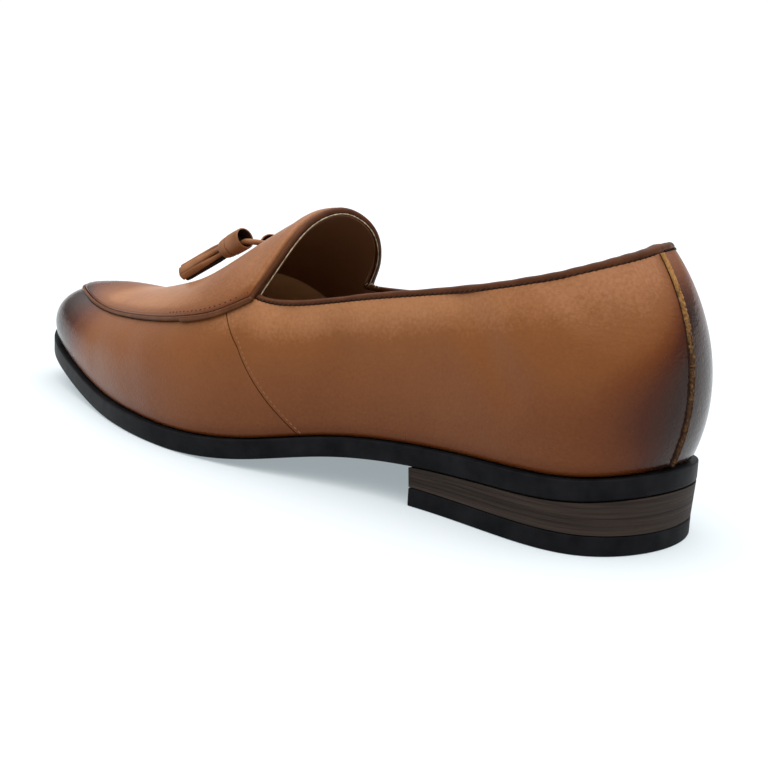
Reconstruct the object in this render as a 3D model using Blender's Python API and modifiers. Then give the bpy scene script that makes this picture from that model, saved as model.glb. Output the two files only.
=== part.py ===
"""Tassel slip-on shoe for the left foot, modelled piece by piece.

Lengths in the tables are millimetres in the shoe's own directions: s runs from the back of the sole to
the toe tip, n runs across towards the outer side of the foot, and z runs up from the floor.
The angle phi goes round the last: 0 at the back of the heel and pi at the toe tip, positive along the
outer side and negative along the inner side. The share v climbs the last from the sole (0) to its ridge (1).
In the scene the toe points to -X and the outer side to -Y, and the origin is under the middle of the shoe.
"""
import math

import bmesh
import bpy
import numpy as np
from mathutils import Vector

MM = 0.001
SIDES = (1.0, -1.0)
SIDE_COLUMNS = {1.0: "outer", -1.0: "inner"}

# Sole and heel
SOLE_LENGTH = 300.0
SOLE_EDGE_HEEL = 6.1
SOLE_EDGE_FORE = 6.7
SOLE_EDGE_FROM = 80.0
SOLE_EDGE_TO = 150.0
SOLE_ROUND = 0.9
SOLE_LIP = 0.5
HEEL_LENGTH = 72.0
HEEL_DRAFT = 0.7
HEEL_INSET = 0.1
LIFT_THICKNESS = 5.7
LIFT_ROUND = 0.5
INSOLE_THICKNESS = 2.6

# Upper and its trim
SOLE_LEDGE = 2.0
WALL = 2.0
GAP = 0.3
APRON_THICKNESS = 1.2
PIPING_RADIUS = 1.1
THROAT_RADIUS = 1.2
TRIM_GAP = 0.4
THROAT_SINK = 0.2
THROAT_SINK_RATE = 4.0
CORNER_ROUND = 0.72
BINDING_RADIUS_HEEL = 1.7
BINDING_RADIUS_THROAT = 1.1
BINDING_END = 4.0
SEAM_HALF_WIDTH = 0.9
SEAM_HEIGHT = 0.9
SEAM_FOOT_SHARE = 0.02
SEAM_HEAD_SHARE = 0.01

# Tassels and their lace
BARREL_RADIUS = 3.95
BARREL_LENGTH = 12.0
BARREL_BORE = 3.0
BARREL_RECESS = 5.0
BARREL_RIM = 0.4
BARREL_SHOULDER = 3.0
BARREL_NECK = 0.7
STRIP_COUNT = 6
STRIP_WIDTH = 1.75
STRIP_SPREAD = 1.75
STRIP_THICKNESS = 1.3
STRIP_RING = 2.6
STRIP_LAP = 3.0
STRIP_FLARE_DEG = 0.2
STRIP_STEP = 0.8
LACE_RADIUS = 0.9

# How finely the surfaces are divided
REAR_COLUMNS = 18
FRONT_COLUMNS = 28
WALL_ROWS = 8
APRON_ROWS = 9
EDGE_COLUMNS = 40
SEAM_ROWS = 12
BARREL_FACETS = 16
COLUMN_CROWDING = 1.1
SHARP_EDGE_DEG = 40.0

# Steps for slopes, and where roots are looked for
FINE_ANGLE = 1e-4
SMALL_ANGLE = 1e-3
SMALL_SHARE = 1e-3
SMALL_LENGTH = 0.01
BELOW_RIDGE = 0.995
HALVINGS = 50
COLLAR_SHARES = (0.15, 0.95)
CORNER_ANGLES = (1.2, 1.7)
THROAT_ANGLES = (1.1, 1.8)
SAME_ANGLE = 1e-9

# Sole outline and underside: one row for each cross-section
SOLE_COLUMNS = ("s", "outer", "inner", "under")
SOLE_ROWS = (
    (0.0, 0.0, 0.0, 17.0),
    (12.0, 26.9, -26.9, 15.4),
    (38.0, 31.8, -31.8, 14.0),
    (72.0, 32.0, -30.1, 12.4),
    (105.0, 38.4, -25.6, 8.8),
    (135.0, 48.1, -25.2, 2.6),
    (165.0, 52.7, -30.7, 0.0),
    (192.0, 50.5, -37.6, 0.0),
    (218.0, 44.6, -41.0, 0.5),
    (243.0, 37.5, -39.0, 2.9),
    (265.0, 30.7, -31.5, 6.2),
    (283.0, 23.9, -21.5, 9.8),
    (SOLE_LENGTH, 2.6, 2.6, 13.6),
)

# Ridge of the last: the line along the top of the foot
RIDGE_COLUMNS = ("s", "n", "z")
RIDGE_ROWS = (
    (30.0, 0.0, 98.0),
    (80.0, 2.2, 96.0),
    (120.0, 6.9, 86.8),
    (135.0, 7.7, 82.1),
    (150.0, 8.0, 74.8),
    (167.0, 7.0, 65.2),
    (185.0, 5.7, 56.1),
    (220.0, 4.4, 45.0),
    (248.0, 3.2, 39.9),
    (268.0, 2.5, 39.4),
    (284.0, 2.6, 37.6),
)

# Cross-sections of the last: where each starts on the sole, where it meets the ridge, its lean and fullness
SECTION_COLUMNS = ("s", "ridge_s", "lean_deg", "low", "top")
SECTION_ROWS = (
    (0.0, 38.0, 22.8, 0.55, 0.57),
    (38.0, 50.0, 15.7, 0.50, 0.64),
    (80.0, 84.0, 10.0, 0.55, 0.70),
    (120.0, 120.0, 9.0, 0.51, 0.67),
    (150.0, 150.0, 8.7, 0.49, 0.61),
    (185.0, 185.0, 13.5, 0.54, 0.60),
    (220.0, 219.0, 20.0, 0.59, 0.59),
    (250.0, 246.0, 24.0, 0.64, 0.59),
    (275.0, 266.0, 24.0, 0.67, 0.63),
    (SOLE_LENGTH, 283.0, 20.0, 0.67, 0.69),
)

# Height of the finished topline above each point of the sole's edge, on the outer and on the inner side
TOPLINE_COLUMNS = ("s", "outer", "inner")
TOPLINE_ROWS = (
    (0.0, 86.0, 86.0),
    (7.4, 82.2, 85.3),
    (22.6, 77.9, 80.6),
    (44.7, 72.4, 73.6),
    (73.0, 66.4, 66.8),
    (95.1, 62.0, 62.0),
    (117.9, 57.3, 57.3),
    (126.0, 56.5, 56.5),
    (140.0, 57.6, 56.2),
    (152.0, 59.5, 57.0),
)

# Edge of the throat: how far along the shoe it lies at each height, on the outer and on the inner side
THROAT_COLUMNS = ("z", "outer", "inner")
THROAT_ROWS = (
    (50.0, 139.1, 149.0),
    (56.0, 137.5, 145.0),
    (60.5, 136.1, 141.2),
    (66.0, 134.8, 137.2),
    (71.0, 134.3, 134.9),
    (77.0, 134.5, 133.8),
    (82.0, 134.8, 134.8),
)

# Apron seam: the share of the climb from sole to ridge at which it runs, on the outer and on the inner side
APRON_COLUMNS = ("s", "outer", "inner")
APRON_LINE = (
    (152.0, 0.442, 0.460),
    (162.0, 0.450, 0.455),
    (178.0, 0.479, 0.480),
    (200.0, 0.522, 0.524),
    (226.0, 0.563, 0.580),
    (247.0, 0.597, 0.622),
    (265.0, 0.634, 0.655),
    (278.0, 0.686, 0.693),
    (290.0, 0.742, 0.741),
    (297.0, 0.788, 0.788),
    (SOLE_LENGTH, 0.813, 0.813),
)
# Rows that the seam's curve repeats past the toe tip, so that it turns there in a round
TIP_ROWS = 3

# Tassels: the middle of the barrel's open end, and the middle of the strips' ends
TASSELS = {
    "tassel_lateral": ((177.5, 11.8, 68.8), (209.8, 13.9, 52.4)),
    "tassel_medial": ((177.4, 0.0, 66.35), (207.5, -20.5, 48.2)),
}

# Lace from one barrel to the other, over the ridge of the apron
LACE_ROUTE = (
    (180.2, 11.9, 66.0),
    (177.5, 11.7, 67.4),
    (175.3, 10.4, 67.6),
    (174.2, 8.3, 67.4),
    (173.9, 6.0, 67.0),
    (174.4, 3.8, 66.8),
    (175.6, 1.8, 66.6),
    (177.4, 0.0, 66.3),
    (180.0, -1.8, 64.8),
)


def columns(names, rows):
    """Turns a table of rows into arrays by column name."""
    return dict(zip(names, np.array(rows, float).T))


def spline(xs, ys):
    """Natural cubic spline through the points, as a function of x."""
    count = len(xs)
    width = np.diff(xs)
    matrix = np.eye(count)
    right = np.zeros(count)
    for i in range(1, count - 1):
        matrix[i, i - 1:i + 2] = width[i - 1], 2.0 * (width[i - 1] + width[i]), width[i]
        right[i] = 6.0 * ((ys[i + 1] - ys[i]) / width[i] - (ys[i] - ys[i - 1]) / width[i - 1])
    bend = np.linalg.solve(matrix, right)

    def value(x):
        x = np.asarray(x, float)
        i = np.clip(np.searchsorted(xs, x) - 1, 0, count - 2)
        after, before, h = xs[i + 1] - x, x - xs[i], width[i]
        curved = (bend[i] * after ** 3 + bend[i + 1] * before ** 3) / (6.0 * h)
        return (curved + (ys[i] / h - bend[i] * h / 6.0) * after
                + (ys[i + 1] / h - bend[i + 1] * h / 6.0) * before)

    return value


def angle_of(s):
    """Angle round the last for a distance along the sole."""
    return np.arccos(np.clip(1.0 - 2.0 * np.asarray(s, float) / SOLE_LENGTH, -1.0, 1.0))


def wrap(phi):
    """Brings an angle back between -pi and pi."""
    return (np.asarray(phi, float) + math.pi) % (2.0 * math.pi) - math.pi


SOLE = columns(SOLE_COLUMNS, SOLE_ROWS)
RIDGE = columns(RIDGE_COLUMNS, RIDGE_ROWS)
SECTION = columns(SECTION_COLUMNS, SECTION_ROWS)
TOPLINE = columns(TOPLINE_COLUMNS, TOPLINE_ROWS)
THROAT = columns(THROAT_COLUMNS, THROAT_ROWS)
APRON = columns(APRON_COLUMNS, APRON_LINE)

outer_edge = spline(angle_of(SOLE["s"]), SOLE["outer"])
inner_edge = spline(angle_of(SOLE["s"]), SOLE["inner"])
under_line = spline(SOLE["s"], SOLE["under"])
ridge_n = spline(RIDGE["s"], RIDGE["n"])
ridge_z = spline(RIDGE["s"], RIDGE["z"])
section = {name: spline(angle_of(SECTION["s"]), SECTION[name]) for name in SECTION_COLUMNS[1:]}
topline = {side: spline(angle_of(TOPLINE["s"]), TOPLINE[name]) for side, name in SIDE_COLUMNS.items()}
throat_s = {side: spline(THROAT["z"], THROAT[name]) for side, name in SIDE_COLUMNS.items()}


def under_z(s):
    """Underside of the outsole, flat on the floor where the ball of the foot rests."""
    return np.maximum(under_line(s), 0.0)


def sole_top_z(s):
    """Top face of the outsole."""
    share = np.clip((s - SOLE_EDGE_FROM) / (SOLE_EDGE_TO - SOLE_EDGE_FROM), 0.0, 1.0)
    return under_line(s) + SOLE_EDGE_HEEL + (SOLE_EDGE_FORE - SOLE_EDGE_HEEL) * share


def plan(phi):
    """Outline of the sole from above."""
    theta = np.abs(phi)
    s = SOLE_LENGTH / 2.0 * (1.0 - np.cos(theta))
    return np.stack([s, np.where(np.asarray(phi) >= 0.0, outer_edge(theta), inner_edge(theta))], -1)


def outline(phi, inset):
    """Outline of the sole, moved inwards."""
    run = plan(wrap(phi + FINE_ANGLE)) - plan(wrap(phi - FINE_ANGLE))
    out = np.stack([-run[..., 1], run[..., 0]], -1) / np.linalg.norm(run, axis=-1, keepdims=True)
    return plan(wrap(phi)) - inset * out


def last(phi, v):
    """Point on the last: a cubic curve from the sole's edge up to the ridge."""
    phi, v = np.broadcast_arrays(np.asarray(phi, float), np.asarray(v, float))
    theta = np.abs(phi)
    foot = outline(phi, SOLE_LEDGE)
    foot_z = sole_top_z(foot[..., 0]) + GAP
    top_s = section["ridge_s"](theta)
    top = np.stack([top_s, ridge_n(top_s)], -1)
    top_z = ridge_z(top_s)
    slope = (ridge_z(top_s + SMALL_LENGTH) - ridge_z(top_s - SMALL_LENGTH)) / (2.0 * SMALL_LENGTH)
    across = foot - top
    reach = np.linalg.norm(across, axis=-1)
    across = across / reach[..., None]
    lean = np.radians(section["lean_deg"](theta))
    climb = section["low"](theta) * (top_z - foot_z)
    spread = section["top"](theta) * reach
    low = np.concatenate([foot + across * (climb * np.sin(lean))[..., None],
                          (foot_z + climb * np.cos(lean))[..., None]], -1)
    high = np.concatenate([top + across * spread[..., None],
                           (top_z + across[..., 0] * slope * spread)[..., None]], -1)
    start = np.concatenate([foot, foot_z[..., None]], -1)
    end = np.concatenate([top, top_z[..., None]], -1)
    v = v[..., None]
    u = 1.0 - v
    return u ** 3 * start + 3.0 * u * u * v * low + 3.0 * u * v * v * high + v ** 3 * end


def climb_rate(phi, v):
    """Change of the point on the last for a step of v."""
    low, high = np.maximum(v - SMALL_SHARE, 0.0), np.minimum(v + SMALL_SHARE, 1.0)
    return (last(phi, high) - last(phi, low)) / (high - low)[..., None]


def outward(phi, v):
    """Unit normal of the last, pointing out of the shoe."""
    phi, v = np.broadcast_arrays(np.asarray(phi, float), np.asarray(v, float))
    v = np.minimum(v, BELOW_RIDGE)
    turn = last(wrap(phi + SMALL_ANGLE), v) - last(wrap(phi - SMALL_ANGLE), v)
    normal = np.cross(climb_rate(phi, v), turn)
    return normal / np.linalg.norm(normal, axis=-1, keepdims=True)


def skin(phi, v, height=0.0):
    """Point at a height over the last's surface."""
    return last(phi, v) + height * outward(phi, v)


def raised(phi, v, distance):
    """The share v that lies a distance further up the last."""
    return v + distance / np.linalg.norm(climb_rate(phi, v), axis=-1)


def bisect(function, shape, span):
    """Root of a rising function between two ends, for a whole array at once."""
    low, high = (np.full(shape, end) for end in span)
    for _ in range(HALVINGS):
        middle = (low + high) / 2.0
        above = function(middle) > 0.0
        high = np.where(above, middle, high)
        low = np.where(above, low, middle)
    return (low + high) / 2.0


def binding_radius(phi):
    """Radius of the collar binding, fullest at the back of the heel."""
    share = np.abs(phi) / (math.pi / 2.0)
    return BINDING_RADIUS_HEEL + (BINDING_RADIUS_THROAT - BINDING_RADIUS_HEEL) * share


def collar_share(phi):
    """Where the wall ends under the collar binding."""
    phi = np.asarray(phi, float)
    theta = np.abs(phi)
    finished = np.where(phi >= 0.0, topline[1.0](theta), topline[-1.0](theta))
    edge = finished - 2.0 * binding_radius(phi) - GAP
    return bisect(lambda v: last(phi, v)[..., 2] - edge, phi.shape, COLLAR_SHARES)


def ahead_of_throat(side, point):
    """Distance of a point ahead of the throat's edge."""
    return point[..., 0] - throat_s[side](point[..., 2])


def throat_corner(side):
    """Angle at which the topline meets the throat, on one side of the shoe."""
    def ahead(theta):
        phi = side * theta
        return ahead_of_throat(side, last(phi, collar_share(phi)))

    return float(bisect(ahead, 1, CORNER_ANGLES)[0])


def throat_angle(side, v):
    """Angle of the throat's edge at each share v."""
    return bisect(lambda theta: ahead_of_throat(side, last(side * theta, v)), v.shape, THROAT_ANGLES)


def apron_spline(side):
    """Share at which the apron seam runs, from the throat's corner to the toe, where it runs on level."""
    angles = np.concatenate([[CORNER[side]], angle_of(APRON["s"])])
    shares = np.concatenate([[CORNER_SHARE[side]], APRON[SIDE_COLUMNS[side]]])
    beyond = slice(-2, -2 - TIP_ROWS, -1)
    angles = np.concatenate([angles, 2.0 * math.pi - angles[beyond]])
    return spline(angles, np.concatenate([shares, shares[beyond]]))


CORNER = {side: throat_corner(side) for side in SIDES}
CORNER_SHARE = {side: float(collar_share(np.array([side * CORNER[side]]))[0]) for side in SIDES}
APRON_SPLINE = {side: apron_spline(side) for side in SIDES}


def forward_shares(count):
    """Even steps from throat to toe, closer together at the throat."""
    return np.linspace(0.0, 1.0, count + 1) ** COLUMN_CROWDING


def apron_grid(side, rows, count):
    """Angles and shares over the apron on one side, from the throat's edge forward and from seam to ridge."""
    forward = forward_shares(count)[:, None]
    up = np.linspace(0.0, 1.0, rows + 1)[None, :]
    foot = CORNER[side] + (math.pi - CORNER[side]) * forward
    edge = throat_angle(side, CORNER_SHARE[side] + (1.0 - CORNER_SHARE[side]) * up[0])
    sweep = (edge - CORNER[side])[None, :] * (1.0 - forward)
    start = APRON_SPLINE[side](foot)
    return side * (foot + sweep), start + (1.0 - start) * up


def wall_angles():
    """Angles of the wall's columns on one side, heel to toe, by side."""
    angles = {}
    for side in SIDES:
        rear = np.linspace(0.0, CORNER[side], REAR_COLUMNS + 1)
        front = CORNER[side] + (math.pi - CORNER[side]) * forward_shares(FRONT_COLUMNS)
        angles[side] = np.concatenate([rear, front[1:]])
    return angles


def wall_top(side, theta):
    """Where the wall ends: at the binding behind the throat, at the apron seam ahead of it."""
    return np.where(theta <= CORNER[side] + SAME_ANGLE, collar_share(side * theta), APRON_SPLINE[side](theta))


def to_world(points):
    """Millimetres in the shoe's directions to metres in the scene, before centring."""
    points = np.asarray(points, float)
    return np.stack([-points[..., 0], -points[..., 1], points[..., 2]], -1) * MM


def new_collection(name):
    """A collection in the scene."""
    collection = bpy.data.collections.new(name)
    bpy.context.scene.collection.children.link(collection)
    return collection


def clear_scene():
    """Removes whatever the scene held."""
    for item in list(bpy.data.objects):
        bpy.data.objects.remove(item, do_unlink=True)


clear_scene()
SHOE = new_collection("slip_on_shoe")
CUTTERS = new_collection("cutters")
CENTRE = bpy.data.objects.new("shoe_centre", None)
SHOE.objects.link(CENTRE)


def finish(name, colour, roughness):
    """A plain material for one piece."""
    material = bpy.data.materials.new(name)
    material.use_nodes = True
    shader = material.node_tree.nodes["Principled BSDF"]
    shader.inputs["Base Color"].default_value = (*colour, 1.0)
    shader.inputs["Roughness"].default_value = roughness
    shader.inputs["Metallic"].default_value = 0.0
    return material


TAN = (0.47, 0.19, 0.085)
DARK_BROWN = (0.075, 0.028, 0.018)
BLACK = (0.016, 0.017, 0.019)
STACK_BROWN = (0.045, 0.028, 0.022)
LINING_BROWN = (0.10, 0.06, 0.035)
OCHRE = (0.36, 0.20, 0.06)


def add_piece(name, data, colour, roughness):
    """Links a piece to the shoe, hung on the centring empty, with its own material."""
    piece = bpy.data.objects.new(name, data)
    SHOE.objects.link(piece)
    piece.parent = CENTRE
    data.materials.append(finish(name, colour, roughness))
    return piece


def loft_mesh(name, points, faces, closed):
    """A mesh from lofted sections, its faces turned outwards where it is closed."""
    mesh = bpy.data.meshes.new(name)
    mesh.from_pydata(to_world(points).tolist(), [], faces)
    if closed:
        shape = bmesh.new()
        shape.from_mesh(mesh)
        bmesh.ops.recalc_face_normals(shape, faces=shape.faces)
        shape.to_mesh(mesh)
        shape.free()
    mesh.shade_smooth()
    mesh.set_sharp_from_angle(angle=math.radians(SHARP_EDGE_DEG))
    return mesh


def thicken(piece, thickness, direction):
    """Gives an open surface its thickness: direction 1 outwards, -1 inwards."""
    solid = piece.modifiers.new("thickness", "SOLIDIFY")
    solid.thickness = thickness * MM
    solid.offset = direction
    solid.use_even_offset = True


def side_ring(theta_end):
    """Angles round a flat piece, from the back of the heel up the outer side and back on the inner side."""
    whole = theta_end >= math.pi
    theta = np.linspace(0.0, theta_end, EDGE_COLUMNS if whole else EDGE_COLUMNS // 2)
    inner = theta[1:-1] if whole else theta[1:]
    return np.concatenate([theta, -inner[::-1]]), len(theta), whole


def add_plate(name, theta_end, levels, colour, roughness):
    """A flat piece of the bottom stock: outlines at rising levels, closed by faces across top and bottom.

    Each level is an inset from the sole's outline and a function that gives its height along the shoe.
    """
    phi, count, whole = side_ring(theta_end)
    ring = len(phi)
    points = []
    for inset, height in levels:
        edge = outline(phi, inset)
        points.append(np.column_stack([edge, height(edge[:, 0])]))
    faces = []
    for level in range(len(levels) - 1):
        for i in range(ring):
            j = (i + 1) % ring
            faces.append((level * ring + i, level * ring + j, (level + 1) * ring + j, (level + 1) * ring + i))
    pairs = [(i, ring - i) for i in range(1, count - 1 if whole else count)]
    for base in (0, (len(levels) - 1) * ring):
        faces.append((base, base + pairs[0][0], base + pairs[0][1]))
        for (a, b), (c, d) in zip(pairs, pairs[1:]):
            faces.append((base + a, base + c, base + d, base + b))
        if whole:
            faces.append((base + pairs[-1][0], base + count - 1, base + pairs[-1][1]))
    return add_piece(name, loft_mesh(name, np.concatenate(points), faces, True), colour, roughness)


def add_tube(name, points, radii, cyclic, colour, roughness):
    """A round cord or binding along a line of points."""
    curve = bpy.data.curves.new(name, "CURVE")
    curve.dimensions = "3D"
    curve.bevel_depth = MM
    curve.bevel_resolution = 2
    curve.use_fill_caps = not cyclic
    line = curve.splines.new("POLY")
    line.points.add(len(points) - 1)
    for knot, place, radius in zip(line.points, to_world(points), radii):
        knot.co = (*place, 1.0)
        knot.radius = radius
    line.use_cyclic_u = cyclic
    return add_piece(name, curve, colour, roughness)


def add_bottom_stock():
    """Outsole, heel block, top lift and insole."""
    heel_angle = float(angle_of(HEEL_LENGTH))

    def lip_z(s):
        return sole_top_z(s) - SOLE_LIP

    def waist_z(s):
        return under_z(s) + SOLE_ROUND

    levels = (SOLE_ROUND, under_z), (0.0, waist_z), (0.0, lip_z), (SOLE_LIP, sole_top_z)
    add_plate("outsole", math.pi, levels, BLACK, 0.4)
    add_plate("heel_stack", heel_angle,
              ((HEEL_DRAFT, lambda s: np.full(s.shape, LIFT_THICKNESS + GAP)),
               (HEEL_INSET, lambda s: under_line(s) - GAP)), STACK_BROWN, 0.45)
    add_plate("top_lift", heel_angle,
              ((HEEL_DRAFT + LIFT_ROUND, lambda s: np.zeros(s.shape)),
               (HEEL_DRAFT, lambda s: np.full(s.shape, LIFT_ROUND)),
               (HEEL_DRAFT, lambda s: np.full(s.shape, LIFT_THICKNESS))), BLACK, 0.5)
    inset = SOLE_LEDGE + WALL + 2.0 * GAP
    add_plate("insole", math.pi,
              ((inset, lambda s: sole_top_z(s) + GAP),
               (inset, lambda s: sole_top_z(s) + GAP + INSOLE_THICKNESS)), LINING_BROWN, 0.6)


def cell(index, side, i, j):
    """One face of a grid of points on one side, turned outwards."""
    corners = [index[side, i, j], index[side, i, j + 1], index[side, i + 1, j + 1], index[side, i + 1, j]]
    return corners if side > 0.0 else corners[::-1]


def add_upper():
    """The hollow upper: a wall from sole to collar and seam, and the vamp's top from seam to ridge."""
    angles = wall_angles()
    share = np.linspace(0.0, 1.0, WALL_ROWS + 1)
    points = []
    index = {}

    def place(key, phi, v):
        index[key] = len(points)
        points.append(skin(phi, v))

    toe = REAR_COLUMNS + FRONT_COLUMNS
    for side in SIDES:
        top = wall_top(side, angles[side])
        for i, theta in enumerate(angles[side]):
            for j in range(WALL_ROWS + 1):
                if side < 0.0 and i in (0, toe):
                    index[side, i, j] = index[1.0, i, j]
                else:
                    place((side, i, j), side * theta, top[i] * share[j])
        phi, v = apron_grid(side, APRON_ROWS, FRONT_COLUMNS)
        for i in range(FRONT_COLUMNS + 1):
            for j in range(1, APRON_ROWS + 1):
                key = (side, REAR_COLUMNS + i, WALL_ROWS + j)
                if side < 0.0 and (j == APRON_ROWS or i == FRONT_COLUMNS):
                    index[key] = index[(1.0, *key[1:])]
                else:
                    place(key, phi[i, j], v[i, j])
    faces = []
    for side in SIDES:
        for i in range(toe):
            rows = WALL_ROWS if i < REAR_COLUMNS else WALL_ROWS + APRON_ROWS
            for j in range(rows):
                faces.append(cell(index, side, i, j))
    upper = add_piece("upper", loft_mesh("upper", points, faces, False), TAN, 0.4)
    thicken(upper, WALL, -1.0)


def add_apron():
    """The raised apron over the vamp, from its seam to the ridge on both sides."""
    points = []
    index = {}
    for side in SIDES:
        phi, v = apron_grid(side, APRON_ROWS, FRONT_COLUMNS)
        for i in range(FRONT_COLUMNS + 1):
            for j in range(APRON_ROWS + 1):
                if side < 0.0 and (j == APRON_ROWS or i == FRONT_COLUMNS):
                    index[side, i, j] = index[1.0, i, j]
                else:
                    index[side, i, j] = len(points)
                    points.append(skin(phi[i, j], v[i, j], GAP))
    faces = []
    for side in SIDES:
        for i in range(FRONT_COLUMNS):
            for j in range(APRON_ROWS):
                faces.append(cell(index, side, i, j))
    apron = add_piece("apron", loft_mesh("apron", points, faces, False), TAN, 0.4)
    thicken(apron, APRON_THICKNESS, 1.0)


def beside(points, normals, side, distance, height):
    """Moves a line sideways within the surface, to its outer side, and off the surface."""
    run = np.gradient(points, axis=0)
    sideways = side * np.cross(normals, run)
    sideways /= np.linalg.norm(sideways, axis=-1, keepdims=True)
    return points + sideways * distance + normals * height


def seam_line(side):
    """Middle of the piping along the apron seam, throat to toe."""
    phi, v = (grid[:, 0] for grid in apron_grid(side, APRON_ROWS, FRONT_COLUMNS))
    return beside(last(phi, v), outward(phi, v), side, PIPING_RADIUS + TRIM_GAP, PIPING_RADIUS + TRIM_GAP)


def throat_line(side):
    """Middle of the piping up the throat's edge, corner to ridge."""
    phi, v = (grid[0] for grid in apron_grid(side, APRON_ROWS, FRONT_COLUMNS))
    sunk = np.clip(np.linspace(0.0, THROAT_SINK_RATE, APRON_ROWS + 1), 0.0, 1.0)[:, None]
    height = (THROAT_RADIUS + TRIM_GAP) * (1.0 - sunk) - THROAT_SINK * sunk
    return beside(last(phi, v), outward(phi, v), -side, THROAT_RADIUS + TRIM_GAP, height)


def add_piping():
    """One closed bound edge round the apron: up the throat on both sides and along the seam round the toe."""
    turns = {}
    for side in SIDES:
        corner = last(side * CORNER[side], CORNER_SHARE[side])
        ends = throat_line(side)[0] - corner, seam_line(side)[0] - corner
        turns[side] = [corner + (ends[0] + ends[1]) * CORNER_ROUND]
    up, down = throat_line(1.0), throat_line(-1.0)[::-1]
    out, back = seam_line(-1.0), seam_line(1.0)[::-1]
    points = np.concatenate([up, down[1:], turns[-1.0], out, back[1:], turns[1.0]])
    radii = np.full(len(points), PIPING_RADIUS)
    radii[:len(up) + len(down) - 1] = THROAT_RADIUS
    add_tube("apron_piping", points, radii, True, DARK_BROWN, 0.45)


def binding_line(side):
    """Middle and radius of the collar binding on one side, from the back of the heel nearly to the throat."""
    phi = side * np.linspace(0.0, CORNER[side], REAR_COLUMNS + 1)
    radius = binding_radius(phi)
    line = skin(phi, raised(phi, collar_share(phi), radius + GAP), -WALL / 2.0)
    ahead = ahead_of_throat(side, line)
    kept = np.flatnonzero(ahead < -BINDING_END)[-1]
    rest = (-BINDING_END - ahead[kept]) / (ahead[kept + 1] - ahead[kept])
    end = line[kept] + rest * (line[kept + 1] - line[kept])
    return np.concatenate([line[:kept + 1], [end]]), radius[:kept + 2]


def add_binding():
    """The rolled binding along the topline, from throat to throat round the heel."""
    inner, outer = binding_line(-1.0), binding_line(1.0)
    points, radii = (np.concatenate([a[::-1], b[1:]]) for a, b in zip(inner, outer))
    add_tube("collar_binding", points, radii, False, DARK_BROWN, 0.45)


def add_back_seam():
    """The raised seam down the middle of the heel."""
    top = float(collar_share(np.array([0.0]))[0])
    share = np.linspace(SEAM_FOOT_SHARE, top - SEAM_HEAD_SHARE, SEAM_ROWS + 1)
    length = float(np.linalg.norm(plan(np.array([SMALL_ANGLE])) - plan(np.array([0.0]))))
    half = SEAM_HALF_WIDTH * SMALL_ANGLE / length
    across = (-half, 0.0, half)
    points = [skin(phi, v, GAP) for phi in across for v in share]
    faces = []
    for i in range(len(across) - 1):
        for j in range(SEAM_ROWS):
            a = i * (SEAM_ROWS + 1) + j
            faces.append((a, a + 1, a + SEAM_ROWS + 2, a + SEAM_ROWS + 1))
    seam = add_piece("back_seam", loft_mesh("back_seam", points, faces, False), OCHRE, 0.6)
    thicken(seam, SEAM_HEIGHT, 1.0)


def add_tassel(name, start, end):
    """A tassel: a turned barrel with a bore for the lace, and leather strips joined to its other end."""
    start, end = (Vector(to_world(point)) for point in (start, end))
    axis = end - start
    profile = ((0.0, -BARREL_RECESS), (BARREL_BORE, -BARREL_RECESS), (BARREL_BORE, 0.0),
               (BARREL_RADIUS - BARREL_RIM, 0.0), (BARREL_RADIUS, -BARREL_RIM),
               (BARREL_RADIUS, BARREL_SHOULDER - BARREL_LENGTH),
               (BARREL_RADIUS - BARREL_NECK, -BARREL_LENGTH), (0.0, -BARREL_LENGTH))
    mesh = bpy.data.meshes.new(name)
    edges = [(i, i + 1) for i in range(len(profile) - 1)]
    mesh.from_pydata([(r * MM, 0.0, z * MM) for r, z in profile], edges, [])
    barrel = add_piece(name, mesh, TAN, 0.45)
    barrel.location = start
    barrel.rotation_mode = "QUATERNION"
    barrel.rotation_quaternion = (-axis).to_track_quat("Z", "Y")
    turn = barrel.modifiers.new("turn", "SCREW")
    turn.axis = "Z"
    turn.steps = BARREL_FACETS
    turn.render_steps = BARREL_FACETS
    turn.use_merge_vertices = True
    turn.merge_threshold = SMALL_LENGTH * MM
    strips = bpy.data.collections.new(name + "_strips")
    CUTTERS.children.link(strips)
    length = axis.length / MM - BARREL_LENGTH + STRIP_LAP
    for i in range(STRIP_COUNT):
        add_strip(barrel, strips, i, length - STRIP_STEP * (i % 3))
    union = barrel.modifiers.new("strips", "BOOLEAN")
    union.operation = "UNION"
    union.operand_type = "COLLECTION"
    union.collection = strips
    union.solver = "EXACT"


def add_strip(barrel, strips, i, length):
    """One leather strip of a tassel, standing at its place in the ring and leaning out a little."""
    shape = bmesh.new()
    bmesh.ops.create_cube(shape, size=MM)
    bmesh.ops.scale(shape, vec=(STRIP_THICKNESS, STRIP_WIDTH, length), verts=shape.verts)
    outside = [vertex for vertex in shape.verts if vertex.co.x > 0.0]
    bmesh.ops.scale(shape, vec=(1.0, STRIP_SPREAD, 1.0), verts=outside)
    bmesh.ops.translate(shape, vec=(STRIP_RING * MM, 0.0, -length / 2.0 * MM), verts=shape.verts)
    mesh = bpy.data.meshes.new(f"{barrel.name}_strip_{i}")
    shape.to_mesh(mesh)
    shape.free()
    strip = bpy.data.objects.new(mesh.name, mesh)
    strips.objects.link(strip)
    strip.parent = barrel
    strip.location = (0.0, 0.0, (STRIP_LAP - BARREL_LENGTH) * MM)
    strip.rotation_euler = (0.0, -math.radians(STRIP_FLARE_DEG), 2.0 * math.pi * i / STRIP_COUNT)
    strip.hide_render = True
    strip.display_type = "WIRE"


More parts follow.
